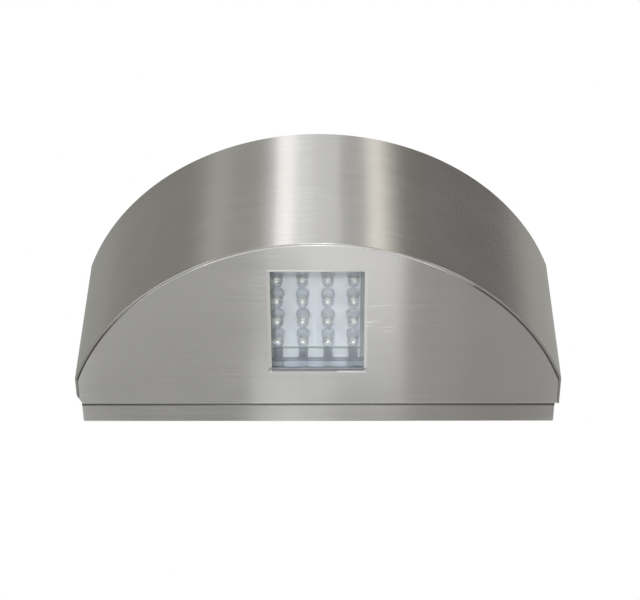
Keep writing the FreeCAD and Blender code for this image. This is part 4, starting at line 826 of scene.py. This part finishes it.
# %% The weld along the arc
# In millimetres: the bead's section, as how far out from its middle and how high, and the arc's radius
WELD_SECTION = [
    (-0.31, -39.84), (-0.17, -39.95), (0, -39.98), (0.17, -39.95),
    (0.31, -39.84), (0.12, -39.70), (-0.12, -39.70),
]
WELD_RADIUS = 110.93
WELD_START, WELD_END = math.radians(-40), math.radians(36)
WELD_POINTS = 400
WELD_WANDER, WELD_CROWN = 0.22, 0.014
WELD_NOISE_STEP, CROWN_NOISE_PLACE = 0.31, 5

weld = bmesh.new()
sections = []
for point in range(WELD_POINTS + 1):
    turn = WELD_START + (WELD_END - WELD_START) * (point / WELD_POINTS)
    wander = noise.noise(Vector((point * WELD_NOISE_STEP, 0, 0)))
    lump = noise.noise(Vector((point * WELD_NOISE_STEP, CROWN_NOISE_PLACE, 0)))
    section = []
    for outward, height in WELD_SECTION:
        radius = WELD_RADIUS + outward * (1 + WELD_WANDER * wander)
        flat_spot = (radius * math.sin(turn), BAND_CENTRE_Y / MM - radius * math.cos(turn))
        section.append(weld.verts.new(Vector((*flat_spot, height + WELD_CROWN * lump)) * MM))
    sections.append(section)
for first, second in zip(sections, sections[1:]):
    join_rings(weld, first, second)
weld.faces.new(list(reversed(sections[0])))
weld.faces.new(sections[-1])
print("weld:", len(weld.faces), "faces over", round(math.degrees(WELD_END - WELD_START)), "degrees")

# %% Weld metal
WELD_BRIGHT, WELD_DULL = 46 * MM, 54 * MM

# Freshly ground weld gives a near-white line, coarser than the sheet and so lit from every side, and its
# near-white middle is partly a painted highlight
weld_steel = mottled("ground_weld_steel", "E2E0DC", "F8F7F5", 0.8 * MM, 0.03 * MM, 0.52, METAL)
tree = weld_steel.node_tree
dull_ends = add_node(tree, "MapRange", (how_far(tree, place_parts(tree)["X"]), WELD_BRIGHT, WELD_DULL))
# The bead is darker towards both ends, where its painted highlight ends
lay_over(weld_steel, [dull_ends], "A9A7A3")
weld_bead = lamp_piece("arc_weld", weld, weld_steel)
print(weld_bead.name, "goes dull from", round(WELD_BRIGHT / MM), "mm off the middle")

# %% [markdown]
# ## A white room
#
# The photograph's background is plain white, and metal and glass mirror it. A white room bright enough
# to look white would also light the object too much. So the world is full white only to rays from the
# camera, from a mirror or through glass, and a plain soft light to all others.

# %% The world
ROOM_LIGHT = 0.70


def seen_plainly(tree):
    """1 for a ray from the camera, a mirror or glass; 0 for a ray that lights a matt surface."""
    paths = add_node(tree, "LightPath").outputs
    mirrored = add_node(tree, "Math", (paths["Is Camera Ray"], paths["Is Glossy Ray"]), operation="MAXIMUM")
    return add_node(tree, "Math", (mirrored, paths["Is Transmission Ray"]), operation="MAXIMUM")


world = bpy.data.worlds.new("white_room")
bpy.context.scene.world = world
world.use_nodes = True
tree = world.node_tree
tree.nodes.clear()
strength = add_node(tree, "MapRange", (seen_plainly(tree), 0.0, 1.0, ROOM_LIGHT, 1.0))
white = add_node(tree, "Background", {"Color": linear("FFFFFF"), "Strength": strength})
add_node(tree, "OutputWorld", {"Surface": white})
print("room light:", ROOM_LIGHT)

# %% [markdown]
# ## The floor
#
# This light hangs on a wall, so the floor is far below: a wide sheet of matt pale paint. Seen
# from above it would look darker than the room and draw a horizon, so to the same rays as before it
# also glows by what it lacks to a near white. It lights the object no more for that.

# %% Pale matt floor
FLOOR_Z = -1.2
FLOOR_HALF_WIDTH = 8
FLOOR_TONE = 0.96

floor_mesh = bmesh.new()
laid = Matrix.Translation((0, 0, FLOOR_Z))
bmesh.ops.create_grid(floor_mesh, x_segments=1, y_segments=1, size=FLOOR_HALF_WIDTH, matrix=laid)
# Matt paint gives an even, pale ground with no highlight of its own
floor_paint = mottled("matt_floor_paint", "EDEDEC", "F4F4F3", 60 * MM, 0.05 * MM, 0.8)
tree = floor_paint.node_tree
lack = FLOOR_TONE - ROOM_LIGHT * linear("F0F0EF")[0]
glow_strength = add_node(tree, "MapRange", (seen_plainly(tree), 0.0, 1.0, 0.0, lack))
glow = add_node(tree, "Emission", {"Strength": glow_strength})
both = add_node(tree, "AddShader", (tree.nodes["Principled BSDF"], glow))
feed(tree, tree.nodes["Material Output"].inputs["Surface"], both)
floor_paint.cycles.emission_sampling = "NONE"
floor = new_object("floor", floor_mesh, floor_paint)
print("the floor glows by", round(lack, 3))

# %% [markdown]
# ## Grey cards round the light
#
# Polished and brushed metal shows whatever stands round it, so its look is made by cards more than by
# lamps. In a plain white room the band would be white from end to end. A photographer sets up grey
# cards, and the gaps between them draw the streaks. Standing cards curve round the band, from low to
# overhead, and thin paper half closes some of the gaps. Each card's colour runs evenly from edge to
# edge. The cards only show in reflections: they hide nothing, cast no shadow and give no light.

# %% Standing cards for the band
CARD_DISTANCE = 2.2
# The lower and upper edges of three tiers of cards, in degrees up
CARD_TIERS = ((8, 30), (30, 55), (55, 86))
# Degrees from straight ahead, positive to the right, and the paper's colour at each edge
STANDING_CARDS = [
    (-180, -140, "AAABA6", "B2B3AE"),
    (-140, -119, "B2B3AE", "969690"),
    (-113, -108, "75746F", "807F7A"),
    (-108, -52, "9A9993", "94938C"),
    (-42, -26, "A8A7A1", "B0AFAA"),
    (10, 21.5, "D2D2D0", "C0C0BD"),
    (33, 52, "97948C", "84817E"),
    (52, 102, "84817F", "757271"),
    (102, 127, "B2B0AA", "C4C3BC"),
    (131.5, 180, "CACAC6", "B8B9B4"),
]
THIN_PAPER = [
    (-119, -113, "DCDBD6", "DCDBD6"),
    (-52, -42, "CFCEC9", "CFCEC9"),
    (-26, -22, "C2C1BD", "D2D1CE"),
    (-3, 10, "F4F4F4", "EEEEEE"),
    (21.5, 33, "FFFEFA", "FFFCF4"),
    (127, 131.5, "5E5D5A", "5E5D5A"),
]
cards = bmesh.new()
paper = cards.loops.layers.float_color.new("paper")


def direction(azimuth, elevation):
    """The way to a place round the light: degrees to the right of straight ahead, and degrees up."""
    around, up = math.radians(azimuth), math.radians(elevation)
    return Vector((math.sin(around) * math.cos(up), -math.cos(around) * math.cos(up), math.sin(up)))


def card(corners):
    """One flat card from corners, each a place and a colour."""
    face = cards.faces.new([cards.verts.new(place) for place, _ in corners])
    for loop, (_, colour) in zip(face.loops, corners):
        loop[paper] = linear(colour)


for left, right, left_paper, right_paper in STANDING_CARDS + THIN_PAPER:
    for low, high in CARD_TIERS:
        edges = [(left, low, left_paper), (right, low, right_paper)]
        edges += [(right, high, right_paper), (left, high, left_paper)]
        card([(direction(azimuth, up) * CARD_DISTANCE, colour) for azimuth, up, colour in edges])
print("standing cards:", len(cards.faces))

# %% [markdown]
# ## Lying cards under the plate
#
# The flat underside mirrors what lies below it. A gap between two cards is the broad light field
# round the window, and its left edge leans, because the card there is cut in steps. Cards that lie
# behind the wall's face darken the plate's rear part and the tray. The smear of the grain blurs all
# of this along Y, so the cards can be simple.

# %% Lying cards for the plates
CARD_HEIGHT = -0.36
# Where the cards end or meet, in metres: across the light, and from before it to behind the wall
LEFT, GAP_LEFT, NOTCH, MIDDLE, GAP_RIGHT, JOIN, RIGHT = -0.162, -0.047, -0.004, 0.008, 0.050, 0.090, 0.162
FRONT, REAR_FROM, DIM_TO, DARK_FROM_Y, BACK = -0.3, 0.240, 0.262, 0.266, 1.3
# The front left card, whose cut edge leans to the right in three steps
LEANING = [(-0.038, FRONT), (-0.034, 0.110), (-0.011, 0.150), (NOTCH, REAR_FROM)]
# The paper's colour, and the corners
LYING_CARDS = [
    ("BDBDBB", (LEFT, FRONT), *LEANING, (LEFT, REAR_FROM)),
    ("C0C0BE", (NOTCH, 0.200), (MIDDLE, 0.200), (MIDDLE, REAR_FROM), (NOTCH, REAR_FROM)),
    ("B2B2B0", (LEFT, REAR_FROM), (NOTCH, REAR_FROM), (GAP_LEFT, DARK_FROM_Y), (LEFT, DARK_FROM_Y)),
    ("A0A09E", (LEFT, DARK_FROM_Y), (GAP_LEFT, DARK_FROM_Y), (GAP_LEFT, BACK), (LEFT, BACK)),
    ("A6A6A4", (NOTCH, REAR_FROM), (GAP_RIGHT, REAR_FROM), (GAP_RIGHT, DIM_TO), (-0.041, DIM_TO)),
    ("DADAD9", (-0.012, DARK_FROM_Y), (MIDDLE, DARK_FROM_Y), (MIDDLE, BACK), (-0.012, BACK)),
    ("8C8C8A", (MIDDLE, DIM_TO), (GAP_RIGHT, DIM_TO), (GAP_RIGHT, BACK), (MIDDLE, BACK)),
    ("AAA8A5", (GAP_RIGHT, FRONT), (JOIN, FRONT), (JOIN, BACK), (GAP_RIGHT, BACK)),
    ("A4A19E", (JOIN, FRONT), (RIGHT, FRONT), (RIGHT, BACK), (JOIN, BACK)),
]

for colour, *corners in LYING_CARDS:
    card([(Vector((*corner, CARD_HEIGHT)), colour) for corner in corners])
print("all cards:", len(cards.faces))

# %% Card paper, seen only in reflections
# Matt paper lit from behind gives the metal an even tone that doesn't change with the lamps
card_paper = bpy.data.materials.new("matt_grey_paper")
card_paper.use_nodes = True
tree = card_paper.node_tree
tree.nodes.clear()
drawn = add_node(tree, "VertexColor", layer_name="paper").outputs["Color"]
shine = add_node(tree, "Emission", {"Color": drawn, "Strength": 1.0})
add_node(tree, "OutputMaterial", {"Surface": shine})
card_paper.cycles.emission_sampling = "NONE"
grey_cards = new_object("grey_cards", cards, card_paper)
for kind_of_ray in ("camera", "diffuse", "transmission", "shadow", "volume_scatter"):
    setattr(grey_cards, "visible_" + kind_of_ray, False)
print("card colours:", len(STANDING_CARDS) + len(THIN_PAPER) + len(LYING_CARDS))

# %% [markdown]
# ## Lamps
#
# One small soft key stands below and in front and lights the board through the window, as the shadow
# in the window shows. A wide, low strip fills it. Three small lamps only add points of light to the
# epoxy domes, and two tall strips above draw the two brightest streaks on the band. All are weak: the
# room does most of the lighting, at a level at which a colour comes out about as it is written.

# %% The lamps
AIM = Vector((0, -50 * MM, 0))
# Degrees to the right and up, then distance, width, height, power in watts, and colour
LAMPS = {
    "key_below_front": (-2, -47, 1.1, 0.04, 0.04, 2.7, "FFFFFF"),
    "wide_below_front": (0, -46, 1.1, 1.6, 0.06, 0.5, "FFFFFF"),
    "spark_left": (-34, -50, 1.1, 0.04, 0.04, 0.45, "FFFFFF"),
    "spark_right": (30, -38, 1.1, 0.04, 0.04, 0.45, "FFFFFF"),
    "spark_low": (4, -70, 1.1, 0.03, 0.03, 0.20, "FFFFFF"),
    "strip_above_left": (-15.7, 54, 2.0, 0.19, 1.7, 0.66, "FFFEFA"),
    "strip_above_right": (27, 54, 2.0, 0.12, 1.7, 0.22, "FFF4DE"),
}

for name, (azimuth, elevation, distance, width, height, power, colour) in LAMPS.items():
    light = bpy.data.lights.new(name, "AREA")
    light.shape = "RECTANGLE"
    light.size, light.size_y = width, height
    light.energy = power
    light.color = linear(colour)[:3]
    lamp = bpy.data.objects.new(name, light)
    bpy.context.scene.collection.objects.link(lamp)
    away = direction(azimuth, elevation)
    lamp.location = AIM + away * distance
    lamp.rotation_mode = "QUATERNION"
    lamp.rotation_quaternion = (-away).to_track_quat("-Z", "Y")
    lamp.visible_camera = False
print("lamps:", list(LAMPS))

# %% [markdown]
# ## The camera
#
# The camera was fitted to the outlines in the photograph: it stands 0.94 m off, low and in front, and
# looks up under the light through a long lens. A short lens close by would frame it as well, but it
# would spread the sides apart, and in the photograph they are almost parallel.

# %% Camera
EYE = Vector((6.52, -608.76, -716.87)) * MM
# How the camera is turned about X, Y and Z, in degrees
CAMERA_TURN = (141.492, -0.238, 0.276)
LENS, SENSOR_WIDTH = 116.25, 36
CLIP_START, CLIP_END = 0.01, 50

camera_data = bpy.data.cameras.new("camera")
camera_data.lens, camera_data.sensor_width = LENS, SENSOR_WIDTH
camera_data.clip_start, camera_data.clip_end = CLIP_START, CLIP_END
camera = bpy.data.objects.new("camera", camera_data)
bpy.context.scene.collection.objects.link(camera)
camera.location = EYE
camera.rotation_euler = Euler([math.radians(turn) for turn in CAMERA_TURN])
bpy.context.scene.camera = camera
bpy.context.scene.view_settings.view_transform = "Standard"
print("camera at", [round(value, 3) for value in camera.location])

# %% [markdown] ## The end
